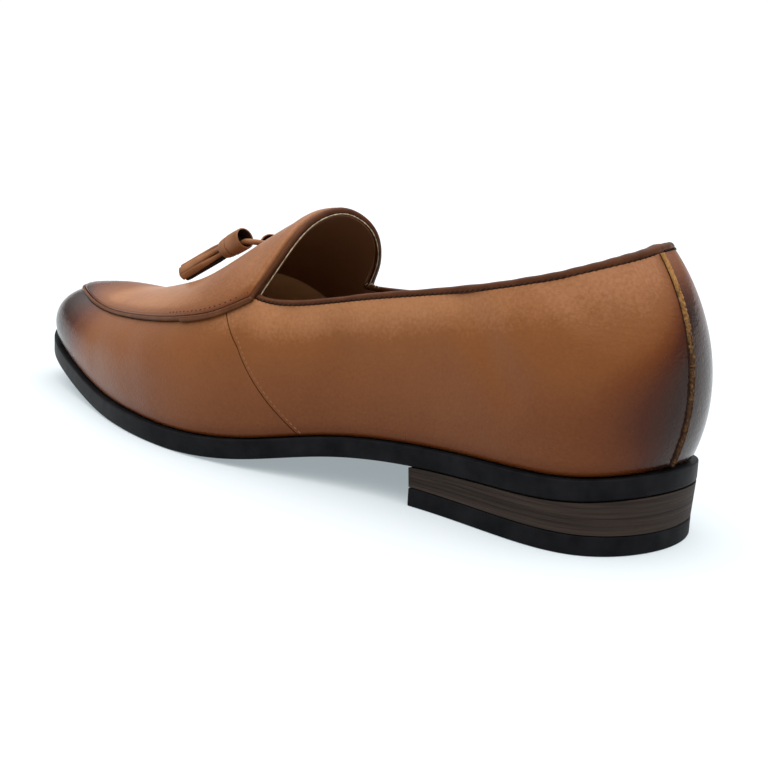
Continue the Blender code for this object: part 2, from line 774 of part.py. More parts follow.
def centre_shoe():
    """Moves the whole shoe so that the origin is under the middle of its box."""
    bpy.context.view_layer.update()
    graph = bpy.context.evaluated_depsgraph_get()
    low, high = np.full(3, np.inf), np.full(3, -np.inf)
    for piece in SHOE.objects:
        if piece.type == "EMPTY":
            continue
        mesh = bpy.data.meshes.new_from_object(piece.evaluated_get(graph))
        corners = np.array([piece.matrix_world @ vertex.co for vertex in mesh.vertices])
        bpy.data.meshes.remove(mesh)
        low, high = np.minimum(low, corners.min(axis=0)), np.maximum(high, corners.max(axis=0))
    CENTRE.location = (-(low[0] + high[0]) / 2.0, -(low[1] + high[1]) / 2.0, 0.0)
    bpy.context.view_layer.update()


add_bottom_stock()
add_upper()
add_apron()
add_piping()
add_binding()
add_back_seam()
for tassel_name, (barrel_end, strip_end) in TASSELS.items():
    add_tassel(tassel_name, barrel_end, strip_end)
add_tube("tassel_tie", LACE_ROUTE, [LACE_RADIUS] * len(LACE_ROUTE), False, TAN, 0.5)
centre_shoe()
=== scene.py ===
"""Looks of the tassel slip-on shoe for the left foot: its leather, linings, trim, seams, tassels and sole.

Lengths are millimetres in the shoe's own directions: s runs from the back of the sole to the toe tip,
n runs across towards the outer side of the foot, and z runs up from the floor.
The angle phi goes round the last: 0 at the back of the heel and pi at the toe tip, positive along the
outer side and negative along the inner side. The share v climbs the last from the sole (0) to its ridge (1),
and a height is measured off the last's surface. Points become metres in the frame when a mesh is made.
"""

import math

import bmesh
import bpy
import numpy as np
from mathutils import Euler, Matrix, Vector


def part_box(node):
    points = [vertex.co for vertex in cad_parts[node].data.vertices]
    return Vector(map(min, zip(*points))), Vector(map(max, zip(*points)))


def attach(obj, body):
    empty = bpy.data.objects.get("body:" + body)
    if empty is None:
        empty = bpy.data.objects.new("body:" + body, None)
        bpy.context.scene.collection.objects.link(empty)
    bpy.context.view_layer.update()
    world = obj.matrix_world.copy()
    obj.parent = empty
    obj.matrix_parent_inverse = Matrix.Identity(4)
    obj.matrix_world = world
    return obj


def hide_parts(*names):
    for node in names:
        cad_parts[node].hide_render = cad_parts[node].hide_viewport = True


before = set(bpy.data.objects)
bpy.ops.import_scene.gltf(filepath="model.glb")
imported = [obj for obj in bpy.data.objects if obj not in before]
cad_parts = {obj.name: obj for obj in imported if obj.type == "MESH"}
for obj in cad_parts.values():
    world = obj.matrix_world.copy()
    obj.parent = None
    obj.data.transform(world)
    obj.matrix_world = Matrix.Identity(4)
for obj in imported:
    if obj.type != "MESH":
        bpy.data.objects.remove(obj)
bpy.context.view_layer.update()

MM = 0.001
SIDES = (1.0, -1.0)
SIDE_NAMES = {1.0: "lateral", -1.0: "medial"}
SIDE_COLUMNS = {1.0: "outer", -1.0: "inner"}

# Sole and heel
SOLE_LENGTH = 300.0
SOLE_EDGE_HEEL = 6.1
SOLE_EDGE_FORE = 6.7
SOLE_EDGE_FROM = 80.0
SOLE_EDGE_TO = 150.0
SOLE_ROUND = 0.9
SOLE_LIP = 0.5
HEEL_LENGTH = 72.0
HEEL_DRAFT = 0.7
LIFT_THICKNESS = 5.7
INSOLE_THICKNESS = 2.6

# Upper and its trim
SOLE_LEDGE = 2.0
WALL = 2.0
GAP = 0.3
APRON_THICKNESS = 1.2
PIPING_RADIUS = 1.1
THROAT_RADIUS = 1.2
THROAT_SINK = 0.2
THROAT_SINK_RATE = 4.0
CORNER_ROUND = 0.72
BINDING_RADIUS_HEEL = 1.7
BINDING_RADIUS_THROAT = 1.1
BINDING_END = 1.0

# Thickness of the outer leather, and where the lining lies under it
LEATHER = 1.1
LINING_TOP = -1.2
FEATHER_ROLL = 1.4
FEATHER_TUCK = 0.9

# How finely the surfaces are divided
WALL_ROWS = 46
QUARTER_COLUMNS = 130
CORNER_COLUMNS = 16
VAMP_COLUMNS = 240
APRON_COLUMNS_FORWARD = 130
APRON_ROWS = 44
LINING_COLUMNS = 120
LINING_ROWS = 40
EDGE_COLUMNS = 40
FINE_EDGE_COLUMNS = 150
# How strongly rows crowd towards an edge
CROWDING = 1.6
LINE_CROWDING = 1.25

# Sole outline and underside: one row for each cross-section
SOLE_COLUMNS = ("s", "outer", "inner", "under")
SOLE_ROWS = (
    (0.0, 0.0, 0.0, 17.0),
    (12.0, 26.9, -26.9, 15.4),
    (38.0, 31.8, -31.8, 14.0),
    (72.0, 32.0, -30.1, 12.4),
    (105.0, 38.4, -25.6, 8.8),
    (135.0, 48.1, -25.2, 2.6),
    (165.0, 52.7, -30.7, 0.0),
    (192.0, 50.5, -37.6, 0.0),
    (218.0, 44.6, -41.0, 0.5),
    (243.0, 37.5, -39.0, 2.9),
    (265.0, 30.7, -31.5, 6.2),
    (283.0, 23.9, -21.5, 9.8),
    (SOLE_LENGTH, 2.6, 2.6, 13.6),
)
# Ridge of the last: the line along the top of the foot
RIDGE_COLUMNS = ("s", "n", "z")
RIDGE_ROWS = (
    (30.0, 0.0, 98.0),
    (80.0, 2.2, 96.0),
    (120.0, 6.9, 86.8),
    (135.0, 7.7, 82.1),
    (150.0, 8.0, 74.8),
    (167.0, 7.0, 65.2),
    (185.0, 5.7, 56.1),
    (220.0, 4.4, 45.0),
    (248.0, 3.2, 39.9),
    (268.0, 2.5, 39.4),
    (284.0, 2.6, 37.6),
)
# Cross-sections of the last: where each starts on the sole, where it meets the ridge, its lean and fullness
SECTION_COLUMNS = ("s", "ridge_s", "lean_deg", "low", "top")
SECTION_ROWS = (
    (0.0, 38.0, 22.8, 0.55, 0.57),
    (38.0, 50.0, 15.7, 0.50, 0.64),
    (80.0, 84.0, 10.0, 0.55, 0.70),
    (120.0, 120.0, 9.0, 0.51, 0.67),
    (150.0, 150.0, 8.7, 0.49, 0.61),
    (185.0, 185.0, 13.5, 0.54, 0.60),
    (220.0, 219.0, 20.0, 0.59, 0.59),
    (250.0, 246.0, 24.0, 0.64, 0.59),
    (275.0, 266.0, 24.0, 0.67, 0.63),
    (SOLE_LENGTH, 283.0, 20.0, 0.67, 0.69),
)
# Height of the finished topline above each point of the sole's edge, on the outer and on the inner side
TOPLINE_COLUMNS = ("s", "outer", "inner")
TOPLINE_ROWS = (
    (0.0, 86.0, 86.0),
    (7.4, 82.2, 85.3),
    (22.6, 77.9, 80.6),
    (44.7, 72.4, 73.6),
    (73.0, 66.4, 66.8),
    (95.1, 62.0, 62.0),
    (117.9, 57.3, 57.3),
    (126.0, 56.5, 56.5),
    (140.0, 57.6, 56.2),
    (152.0, 59.5, 57.0),
)
# Edge of the throat: how far along the shoe it lies at each height, on the outer and on the inner side
THROAT_COLUMNS = ("z", "outer", "inner")
THROAT_ROWS = (
    (50.0, 139.1, 149.0),
    (56.0, 137.5, 145.0),
    (60.5, 136.1, 141.2),
    (66.0, 134.8, 137.2),
    (71.0, 134.3, 134.9),
    (77.0, 134.5, 133.8),
    (82.0, 134.8, 134.8),
)
# Apron seam: the share of the climb from sole to ridge at which it runs, on the outer and on the inner side
APRON_COLUMNS = ("s", "outer", "inner")
APRON_LINE = (
    (152.0, 0.442, 0.460),
    (162.0, 0.450, 0.455),
    (178.0, 0.479, 0.480),
    (200.0, 0.522, 0.524),
    (226.0, 0.563, 0.580),
    (247.0, 0.597, 0.622),
    (265.0, 0.634, 0.655),
    (278.0, 0.686, 0.693),
    (290.0, 0.742, 0.741),
    (297.0, 0.788, 0.788),
    (SOLE_LENGTH, 0.813, 0.813),
)
# Rows that the seam's curve repeats past the toe tip, so that it turns there in a round
TIP_ROWS = 3
# Side seam between quarter and vamp, from the sole up to the apron seam
SIDE_SEAM_COLUMNS = ("s", "v")
SIDE_SEAM_ROWS = (
    (113.0, 0.0),
    (121.1, 0.072),
    (131.6, 0.187),
    (139.8, 0.291),
    (148.4, 0.409),
)
# Tassels: the middle of the barrel's open end, and the middle of the strips' ends
TASSELS = {
    "lateral": ((177.5, 11.8, 68.8), (209.8, 13.9, 52.4)),
    "medial": ((177.4, 0.0, 66.35), (207.5, -20.5, 48.2)),
}
# Lace from one barrel to the other, over the ridge of the apron
LACE_ROUTE = (
    (180.2, 11.9, 66.0),
    (177.5, 11.7, 67.4),
    (175.3, 10.4, 67.6),
    (174.2, 8.3, 67.4),
    (173.9, 6.0, 67.0),
    (174.4, 3.8, 66.8),
    (175.6, 1.8, 66.6),
    (177.4, 0.0, 66.3),
    (180.0, -1.8, 64.8),
)
LACE_RADIUS = 1.05
# Soft troughs in the leather: the side, both ends as distance along the sole's edge and share,
# then depth and half width
CREASES = (
    (1.0, 62.0, 0.47, 36.0, 0.20, 0.80, 8.5),
    (1.0, 30.0, 0.55, 14.0, 0.42, 0.30, 5.0),
    (1.0, 120.0, 0.36, 96.0, 0.22, 0.35, 9.0),
    (1.0, 205.0, 0.42, 190.0, 0.10, 0.18, 9.0),
    (1.0, 236.0, 0.46, 226.0, 0.16, 0.14, 8.0),
    (-1.0, 66.0, 0.45, 40.0, 0.20, 0.45, 8.0),
    (-1.0, 205.0, 0.42, 190.0, 0.10, 0.35, 8.0),
    (-1.0, 236.0, 0.46, 226.0, 0.16, 0.30, 7.0),
)


def columns(names, rows):
    """Turns a table of rows into arrays by column name."""
    return dict(zip(names, np.array(rows, float).T))


def spline(xs, ys):
    """Natural cubic spline through the points, as a function of x."""
    count = len(xs)
    width = np.diff(xs)
    matrix = np.eye(count)
    right = np.zeros(count)
    for i in range(1, count - 1):
        matrix[i, i - 1:i + 2] = width[i - 1], 2.0 * (width[i - 1] + width[i]), width[i]
        right[i] = 6.0 * ((ys[i + 1] - ys[i]) / width[i] - (ys[i] - ys[i - 1]) / width[i - 1])
    bend = np.linalg.solve(matrix, right)

    def value(x):
        x = np.asarray(x, float)
        i = np.clip(np.searchsorted(xs, x) - 1, 0, count - 2)
        after, before, h = xs[i + 1] - x, x - xs[i], width[i]
        curved = (bend[i] * after ** 3 + bend[i + 1] * before ** 3) / (6.0 * h)
        return (curved + (ys[i] / h - bend[i] * h / 6.0) * after
                + (ys[i + 1] / h - bend[i + 1] * h / 6.0) * before)

    return value


def unit(vectors):
    """Vectors at length one."""
    return vectors / np.linalg.norm(vectors, axis=-1, keepdims=True)


def smooth(x, start, full, amount=1.0):
    """Soft step from 0 at start to an amount at full, which may be the smaller of the two."""
    t = np.clip((x - start) / (full - start), 0.0, 1.0)
    return amount * t * t * (3.0 - 2.0 * t)


def bump(x, middle, width, amount=1.0):
    """Bell of an amount round a middle."""
    return amount * np.exp(-((x - middle) / width) ** 2)


def angle_of(s):
    """Angle round the last for a distance along the sole."""
    return np.arccos(np.clip(1.0 - 2.0 * np.asarray(s, float) / SOLE_LENGTH, -1.0, 1.0))


def wrap(phi):
    """Brings an angle back between -pi and pi."""
    return (np.asarray(phi, float) + math.pi) % (2.0 * math.pi) - math.pi


SOLE = columns(SOLE_COLUMNS, SOLE_ROWS)
RIDGE = columns(RIDGE_COLUMNS, RIDGE_ROWS)
SECTION = columns(SECTION_COLUMNS, SECTION_ROWS)
TOPLINE = columns(TOPLINE_COLUMNS, TOPLINE_ROWS)
THROAT = columns(THROAT_COLUMNS, THROAT_ROWS)
APRON = columns(APRON_COLUMNS, APRON_LINE)
SIDE_SEAM = columns(SIDE_SEAM_COLUMNS, SIDE_SEAM_ROWS)

outer_edge = spline(angle_of(SOLE["s"]), SOLE["outer"])
inner_edge = spline(angle_of(SOLE["s"]), SOLE["inner"])
under_line = spline(SOLE["s"], SOLE["under"])
ridge_n = spline(RIDGE["s"], RIDGE["n"])
ridge_z = spline(RIDGE["s"], RIDGE["z"])
section = {name: spline(angle_of(SECTION["s"]), SECTION[name]) for name in SECTION_COLUMNS[1:]}
topline = {side: spline(angle_of(TOPLINE["s"]), TOPLINE[name]) for side, name in SIDE_COLUMNS.items()}
throat_s = {side: spline(THROAT["z"], THROAT[name]) for side, name in SIDE_COLUMNS.items()}


# Small steps that give directions: round the outline, along the ridge, and round or up the last
OUTLINE_STEP = 1e-4
RIDGE_STEP = 0.01
LAST_STEP = 1e-3
# Share above which the last keeps one normal, since its sections meet at the ridge
NORMAL_END = 0.995
# Halvings in a search, and the limits of each: the collar's share, the throat's corner and edge angles
HALVINGS = 40
COLLAR_SEARCH = (0.15, 0.95)
CORNER_SEARCH = (1.2, 1.7)
EDGE_SEARCH = (1.1, 1.8)
# Angle within which a point counts as at the throat's corner
AT_CORNER = 1e-9


def under_z(s):
    """Underside of the outsole, flat on the floor where the ball of the foot rests."""
    return np.maximum(under_line(s), 0.0)


def sole_top_z(s):
    """Top face of the outsole."""
    share = np.clip((s - SOLE_EDGE_FROM) / (SOLE_EDGE_TO - SOLE_EDGE_FROM), 0.0, 1.0)
    return under_line(s) + SOLE_EDGE_HEEL + (SOLE_EDGE_FORE - SOLE_EDGE_HEEL) * share


def plan(phi):
    """Outline of the sole from above."""
    theta = np.abs(phi)
    s = SOLE_LENGTH / 2.0 * (1.0 - np.cos(theta))
    return np.stack([s, np.where(np.asarray(phi) >= 0.0, outer_edge(theta), inner_edge(theta))], -1)


def outline(phi, inset):
    """Outline of the sole, moved inwards."""
    run = plan(wrap(phi + OUTLINE_STEP)) - plan(wrap(phi - OUTLINE_STEP))
    out = unit(np.stack([-run[..., 1], run[..., 0]], -1))
    return plan(wrap(phi)) - np.asarray(inset)[..., None] * out


def last(phi, v):
    """Point on the last: a cubic curve from the sole's edge up to the ridge."""
    phi, v = np.broadcast_arrays(np.asarray(phi, float), np.asarray(v, float))
    theta = np.abs(phi)
    foot = outline(phi, SOLE_LEDGE)
    foot_z = sole_top_z(foot[..., 0]) + GAP
    top_s = section["ridge_s"](theta)
    top = np.stack([top_s, ridge_n(top_s)], -1)
    top_z = ridge_z(top_s)
    slope = (ridge_z(top_s + RIDGE_STEP) - ridge_z(top_s - RIDGE_STEP)) / (2.0 * RIDGE_STEP)
    across = foot - top
    reach = np.linalg.norm(across, axis=-1)
    across = across / reach[..., None]
    lean = np.radians(section["lean_deg"](theta))
    climb = section["low"](theta) * (top_z - foot_z)
    spread = section["top"](theta) * reach
    low = np.concatenate([foot + across * (climb * np.sin(lean))[..., None],
                          (foot_z + climb * np.cos(lean))[..., None]], -1)
    high = np.concatenate([top + across * spread[..., None],
                           (top_z + across[..., 0] * slope * spread)[..., None]], -1)
    start = np.concatenate([foot, foot_z[..., None]], -1)
    end = np.concatenate([top, top_z[..., None]], -1)
    v = v[..., None]
    u = 1.0 - v
    return u ** 3 * start + 3.0 * u * u * v * low + 3.0 * u * v * v * high + v ** 3 * end


def climb_rate(phi, v):
    """Change of the point on the last for a step of v."""
    low, high = np.maximum(v - LAST_STEP, 0.0), np.minimum(v + LAST_STEP, 1.0)
    return (last(phi, high) - last(phi, low)) / (high - low)[..., None]


def outward(phi, v):
    """Unit normal of the last, pointing out of the shoe."""
    phi, v = np.broadcast_arrays(np.asarray(phi, float), np.asarray(v, float))
    v = np.minimum(v, NORMAL_END)
    turn = last(wrap(phi + LAST_STEP), v) - last(wrap(phi - LAST_STEP), v)
    return unit(np.cross(climb_rate(phi, v), turn))


def skin(phi, v, height=0.0):
    """Point at a height over the last's surface."""
    return last(phi, v) + np.asarray(height)[..., None] * outward(phi, v)


def raised(phi, v, distance):
    """The share v that lies a distance further up the last."""
    return v + distance / np.linalg.norm(climb_rate(phi, v), axis=-1)


def bisect(function, shape, limits):
    """Root of a rising function between two limits, for whole arrays at once."""
    low, high = (np.full(shape, limit) for limit in limits)
    for _ in range(HALVINGS):
        middle = (low + high) / 2.0
        above = function(middle) > 0.0
        high = np.where(above, middle, high)
        low = np.where(above, low, middle)
    return (low + high) / 2.0


def binding_radius(phi):
    """Radius of the collar binding, fullest at the back of the heel."""
    share = np.abs(phi) / (math.pi / 2.0)
    return BINDING_RADIUS_HEEL + (BINDING_RADIUS_THROAT - BINDING_RADIUS_HEEL) * share


def collar_share(phi):
    """Where the wall ends under the collar binding."""
    phi = np.asarray(phi, float)
    theta = np.abs(phi)
    finished = np.where(phi >= 0.0, topline[1.0](theta), topline[-1.0](theta))
    edge = finished - 2.0 * binding_radius(phi) - GAP
    return bisect(lambda v: last(phi, v)[..., 2] - edge, phi.shape, COLLAR_SEARCH)


def ahead_of_throat(side, point):
    """Distance of a point ahead of the throat's edge."""
    return point[..., 0] - throat_s[side](point[..., 2])


def throat_corner(side):
    """Angle at which the topline meets the throat, on one side of the shoe."""
    def ahead(theta):
        phi = side * theta
        return ahead_of_throat(side, last(phi, collar_share(phi)))
    return float(bisect(ahead, 1, CORNER_SEARCH)[0])


def throat_angle(side, v):
    """Angle of the throat's edge at each share v."""
    v = np.asarray(v, float)

    def ahead(theta):
        return ahead_of_throat(side, last(side * theta, v))
    return bisect(ahead, v.shape, EDGE_SEARCH)


CORNER = {side: throat_corner(side) for side in SIDES}
CORNER_SHARE = {side: float(collar_share(np.array([side * CORNER[side]]))[0]) for side in SIDES}


def apron_spline(side):
    """Share at which the apron seam runs, from the throat's corner to the toe, where it runs on level."""
    angles = np.concatenate([[CORNER[side]], angle_of(APRON["s"])])
    shares = np.concatenate([[CORNER_SHARE[side]], APRON[SIDE_COLUMNS[side]]])
    beyond = slice(-2, -2 - TIP_ROWS, -1)
    angles = np.concatenate([angles, 2.0 * math.pi - angles[beyond]])
    return spline(angles, np.concatenate([shares, shares[beyond]]))


APRON_SPLINE = {side: apron_spline(side) for side in SIDES}


def wall_top(phi):
    """Where the wall ends: at the binding behind the throat, at the apron seam ahead of it."""
    theta = np.abs(phi)
    top = {}
    for side in SIDES:
        behind = theta <= CORNER[side] + AT_CORNER
        top[side] = np.where(behind, collar_share(side * theta), APRON_SPLINE[side](theta))
    return np.where(phi >= 0.0, top[1.0], top[-1.0])


def apron_side(side, forward, up):
    """Angles and shares over the apron on one side, from the throat's edge forward and from seam to ridge."""
    foot = CORNER[side] + (math.pi - CORNER[side]) * forward[:, None]
    edge = throat_angle(side, CORNER_SHARE[side] + (1.0 - CORNER_SHARE[side]) * up)
    sweep = (edge - CORNER[side])[None, :] * (1.0 - forward[:, None])
    start = APRON_SPLINE[side](foot)
    return side * (foot + sweep), start + (1.0 - start) * up[None, :]


def over_ridge(lateral, medial):
    """Joins the grids of both sides at the ridge, where they share a row."""
    middle = (lateral[:, -1:] + medial[:, -1:]) / 2.0
    return np.concatenate([lateral[:, :-1], middle, medial[:, -2::-1]], axis=1)


# The middle of the shoe's box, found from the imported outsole
SOLE_LOW, SOLE_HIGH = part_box("outsole")
ring = np.linspace(0.0, math.pi, EDGE_COLUMNS)
ORIGIN_S = SOLE_HIGH.x / MM
ORIGIN_N = ((SOLE_LOW.y + SOLE_HIGH.y) / MM + plan(ring)[:, 1].max() + plan(-ring)[:, 1].min()) / 2.0


def to_world(points):
    """Millimetres in the shoe's directions to metres in the frame."""
    points = np.asarray(points, float)
    return np.stack([ORIGIN_S - points[..., 0], ORIGIN_N - points[..., 1], points[..., 2]], -1) * MM


# Angles past which an edge is drawn sharp, and the distance in metres within which points are one
SHARP = math.radians(50.0)
PLATE_SHARP = math.radians(35.0)
WELD = 1e-7
# Domed end of a cord: how far each extra ring stands out and how far it narrows, as shares of the radius
DOME = ((0.45, 0.88), (0.8, 0.55))
# A direction that no cord starts along, which turns its first cross-section
SIDELONG = (0.1, 0.2, 1.0)
BEAD_SEGMENTS = 8
BEAD_RINGS = 6


def add_piece(name, points, faces, material, slot, *nodes, values=None, sharp=SHARP):
    """Makes a closed mesh, hangs it on the body and hides the nodes it stands for.

    Each name in values gives the mesh a number for each point, which its material reads.
    """
    mesh = bpy.data.meshes.new(name)
    mesh.from_pydata(to_world(points).reshape(-1, 3).tolist(), [], faces)
    for key, numbers in (values or {}).items():
        numbers = np.asarray(numbers, float).ravel()
        mesh.attributes.new(key, "FLOAT", "POINT").data.foreach_set("value", numbers)
    shape = bmesh.new()
    shape.from_mesh(mesh)
    bmesh.ops.remove_doubles(shape, verts=shape.verts, dist=WELD)
    bmesh.ops.recalc_face_normals(shape, faces=shape.faces)
    shape.to_mesh(mesh)
    shape.free()
    mesh.shade_smooth()
    mesh.set_sharp_from_angle(angle=sharp)
    mesh.materials.append(material)
    piece = bpy.data.objects.new(name, mesh)
    bpy.context.scene.collection.objects.link(piece)
    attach(piece, "root")
    if nodes:
        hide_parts(*nodes)


def quads(grid):
    """Faces over a grid of point numbers."""
    return np.stack([grid[:-1, :-1], grid[:-1, 1:], grid[1:, 1:], grid[1:, :-1]], -1).reshape(-1, 4)


def ring_faces(rings, sides, first=0, capped=True):
    """Faces round a row of closed rings of points, with a face across each end if it is capped."""
    number = first + np.arange(rings * sides).reshape(rings, sides)
    faces = quads(np.concatenate([number, number[:, :1]], axis=1)).tolist()
    return faces + [number[0].tolist(), number[-1].tolist()] if capped else faces


def add_shell(name, outer, inner, *about, values=None, zipped=False):
    """A closed sheet between two grids. A zipped sheet's last column folds onto itself and is welded."""
    rows = np.arange(outer[..., 0].size * 2).reshape(2, *outer.shape[:2])
    edges = [rows[:, 0], rows[:, :, 0], rows[:, :, -1]] + ([] if zipped else [rows[:, -1]])
    faces = np.concatenate([quads(rows[0]), quads(rows[1])] + [quads(edge) for edge in edges])
    doubled = {key: np.stack([numbers, numbers]) for key, numbers in (values or {}).items()}
    add_piece(name, np.stack([outer, inner]), faces.tolist(), *about, values=doubled)


def carried(line):
    """Directions along, across and above a line, carried along it without twisting."""
    run = unit(np.gradient(line, axis=0))
    across = np.zeros_like(line)
    across[0] = unit(np.cross(run[0], SIDELONG))
    for i in range(1, len(line)):
        across[i] = unit(across[i - 1] - run[i] * (across[i - 1] @ run[i]))
    return run, across, np.cross(run, across)


def add_tube(name, line, radii, sides, *about):
    """A closed round cord along a line of points, with domed ends."""
    run, across, above = carried(line)
    angle = 2.0 * math.pi * np.arange(sides) / sides
    radii = np.broadcast_to(np.asarray(radii, float), len(line))[:, None, None]
    circle = across[:, None] * np.cos(angle)[:, None] + above[:, None] * np.sin(angle)[:, None]
    rings = line[:, None] + radii * circle
    caps = [[line[end] + (rings[end] - line[end]) * narrow + sign * out * radii[end] * run[end]
             for out, narrow in DOME] for end, sign in ((0, -1.0), (-1, 1.0))]
    rings = np.concatenate([caps[0][::-1], rings, caps[1]])
    add_piece(name, rings, ring_faces(len(rings), sides), *about)


def along(line, step, start=0.0):
    """Points at even steps along a line, with the line's direction and the share of its length at each."""
    length = np.concatenate([[0.0], np.cumsum(np.linalg.norm(np.diff(line, axis=0), axis=1))])
    places = np.arange(start, length[-1], step)
    points = np.stack([np.interp(places, length, line[:, k]) for k in range(3)], -1)
    run = np.stack([np.interp(places, length, np.gradient(line[:, k], length)) for k in range(3)], -1)
    return points, unit(run), places / length[-1]


def add_beads(name, places, runs, ups, size, *about):
    """Small rounded beads, one at each place. The size is length along the run, width and height."""
    shape = bmesh.new()
    bmesh.ops.create_uvsphere(shape, u_segments=BEAD_SEGMENTS, v_segments=BEAD_RINGS, radius=1.0)
    template = np.array([vertex.co[:] for vertex in shape.verts])
    shape.verts.index_update()
    faces = [[vertex.index for vertex in face.verts] for face in shape.faces]
    shape.free()
    length, width, height = size
    ups = unit(ups - runs * (ups * runs).sum(-1, keepdims=True))
    across = np.cross(ups, runs)
    points = (places[:, None] + template[None, :, 2:3] * runs[:, None] * length / 2.0
              + template[None, :, 0:1] * across[:, None] * width / 2.0
              + template[None, :, 1:2] * ups[:, None] * height / 2.0)
    count = len(template)
    all_faces = [[corner + k * count for corner in face] for k in range(len(places)) for face in faces]
    add_piece(name, points, all_faces, *about)


def add_stitches(name, line, normals, step, size, *about, slant=0.0, start=0.0):
    """A row of stitches or needle holes along a line on the surface, each turned by a slant."""
    places, runs, share = along(line, step, start)
    ups = normals[(share * (len(line) - 1)).astype(int)]
    runs = runs * math.cos(slant) + np.cross(ups, runs) * math.sin(slant)
    add_beads(name, places, runs, ups, size, *about)


# Materials


def set_inputs(tree, node, **inputs):
    """Sets a node's inputs to numbers or colours, or links them to the outputs of other nodes."""
    for key, value in inputs.items():
        socket = node.inputs[key.replace("_", " ")]
        if isinstance(value, bpy.types.NodeSocket):
            tree.links.new(value, socket)
        else:
            socket.default_value = value


def add_node(tree, kind, **inputs):
    """A new shader node with its inputs."""
    node = tree.nodes.new("ShaderNode" + kind)
    set_inputs(tree, node, **inputs)
    return node


def new_material(name, roughness, shine):
    """A material with its nodes, its shader and places on the shoe."""
    material = bpy.data.materials.new(name)
    material.use_nodes = True
    tree = material.node_tree
    shader = tree.nodes["Principled BSDF"]
    set_inputs(tree, shader, Roughness=roughness, Specular_IOR_Level=shine)
    return material, tree, shader, add_node(tree, "TexCoord").outputs["Object"]


def noise(tree, place, size, detail=3.0, stretch=None):
    """Cloudy pattern with marks of a size in millimetres."""
    if stretch:
        place = add_node(tree, "Mapping", Vector=place, Scale=stretch).outputs["Vector"]
    return add_node(tree, "TexNoise", Vector=place, Scale=1.0 / (size * MM), Detail=detail).outputs["Fac"]


def cells(tree, place, size):
    """Pebbled pattern with cells of a size in millimetres."""
    node = add_node(tree, "TexVoronoi", Vector=place, Scale=1.0 / (size * MM))
    node.feature = "SMOOTH_F1"
    return node.outputs["Distance"]


def attribute(tree, name):
    """The numbers that a mesh keeps under a name."""
    node = add_node(tree, "Attribute")
    node.attribute_name = name
    return node.outputs["Fac"]


def spread(tree, value, low, high):
    """Maps a pattern from 0 to 1 onto a range."""
    return add_node(tree, "MapRange", Value=value, To_Min=low, To_Max=high).outputs["Result"]


def total(tree, a, b, amount=None):
    """Sum of two patterns. With an amount, the second one sways the sum by that much about its middle."""
    if amount:
        b = spread(tree, b, -amount / 2.0, amount / 2.0)
    node = add_node(tree, "Math")
    node.operation = "ADD"
    tree.links.new(a, node.inputs[0])
    tree.links.new(b, node.inputs[1])
    return node.outputs[0]


def colours(tree, value, stops):
    """Colours along a value."""
    node = add_node(tree, "ValToRGB", Fac=value)
    elements = node.color_ramp.elements
    while len(elements) < len(stops):
        elements.new(0.5)
    for element, (position, colour) in zip(elements, stops):
        element.position = position
        element.color = (*colour, 1.0)
    return node.outputs["Color"]


def bumps(tree, *layers):
    """Normal that stacks height patterns, each with a depth in millimetres and a strength."""
    below = {}
    for height, depth, strength in layers:
        node = add_node(tree, "Bump", Height=height, Distance=depth * MM, Strength=strength, **below)
        below = {"Normal": node.outputs["Normal"]}
    return below["Normal"]


# Colours of the tan leather, from a painted highlight through bare to burnished darkest and painted shade
TAN_STOPS = (
    (0.0, (0.300, 0.130, 0.056)),
    (0.16, (0.170, 0.058, 0.0155)),
    (0.42, (0.105, 0.0280, 0.0060)),
    (0.70, (0.050, 0.0110, 0.0034)),
    (1.0, (0.017, 0.0058, 0.0032)),
)
# Range of its roughness, and the change from bare leather to where it is burnished darkest
TAN_GLOSS = (0.29, 0.41)
TAN_POLISH = (0.03, -0.17)
# Where the clouds of the plain leathers are darkest and lightest, and how much their roughness varies
CLOUD_DARK = 0.3
CLOUD_LIGHT = 0.75
GLOSS_SWAY = 0.07


def tan_leather(name):
    """Smooth tan leather, burnished and painted with light and shade where the mesh says so, with fine grain.
    """
    material, tree, shader, place = new_material(name, roughness=0.34, shine=0.15)
    # burnish together with painted shade low down and a painted highlight under the collar
    rubbed_and_shaded = attribute(tree, "rub_and_shading")
    cloud = total(tree, rubbed_and_shaded, noise(tree, place, size=26.0), amount=0.16)
    speck = total(tree, cloud, noise(tree, place, size=1.0, detail=4.0), amount=0.14)
    polish = spread(tree, rubbed_and_shaded, *TAN_POLISH)
    gloss = total(tree, spread(tree, noise(tree, place, size=5.0), *TAN_GLOSS), polish)
    wrinkle = noise(tree, place, size=3.2, stretch=(1.0, 1.0, 2.6))
    normal = bumps(tree, (wrinkle, 0.30, 0.32), (cells(tree, place, size=0.75), 0.12, 0.40))
    set_inputs(tree, shader, Base_Color=colours(tree, speck, TAN_STOPS), Roughness=gloss, Normal=normal)
    return material


def plain_leather(name, dark, light, roughness, shine=0.25, grain_size=0.7):
    """Leather of one colour family, clouded from dark to light, with grain."""
    material, tree, shader, place = new_material(name, roughness, shine)
    cloud = noise(tree, place, size=6.0, detail=5.0)
    colour = colours(tree, cloud, ((CLOUD_DARK, dark), (CLOUD_LIGHT, light)))
    gloss = spread(tree, noise(tree, place, size=2.5), roughness - GLOSS_SWAY, roughness + GLOSS_SWAY)
    grain = cells(tree, place, grain_size)
    normal = bumps(tree, (noise(tree, place, size=2.4), 0.25, 0.3), (grain, 0.12, 0.3))
    set_inputs(tree, shader, Base_Color=colour, Roughness=gloss, Normal=normal)
    return material


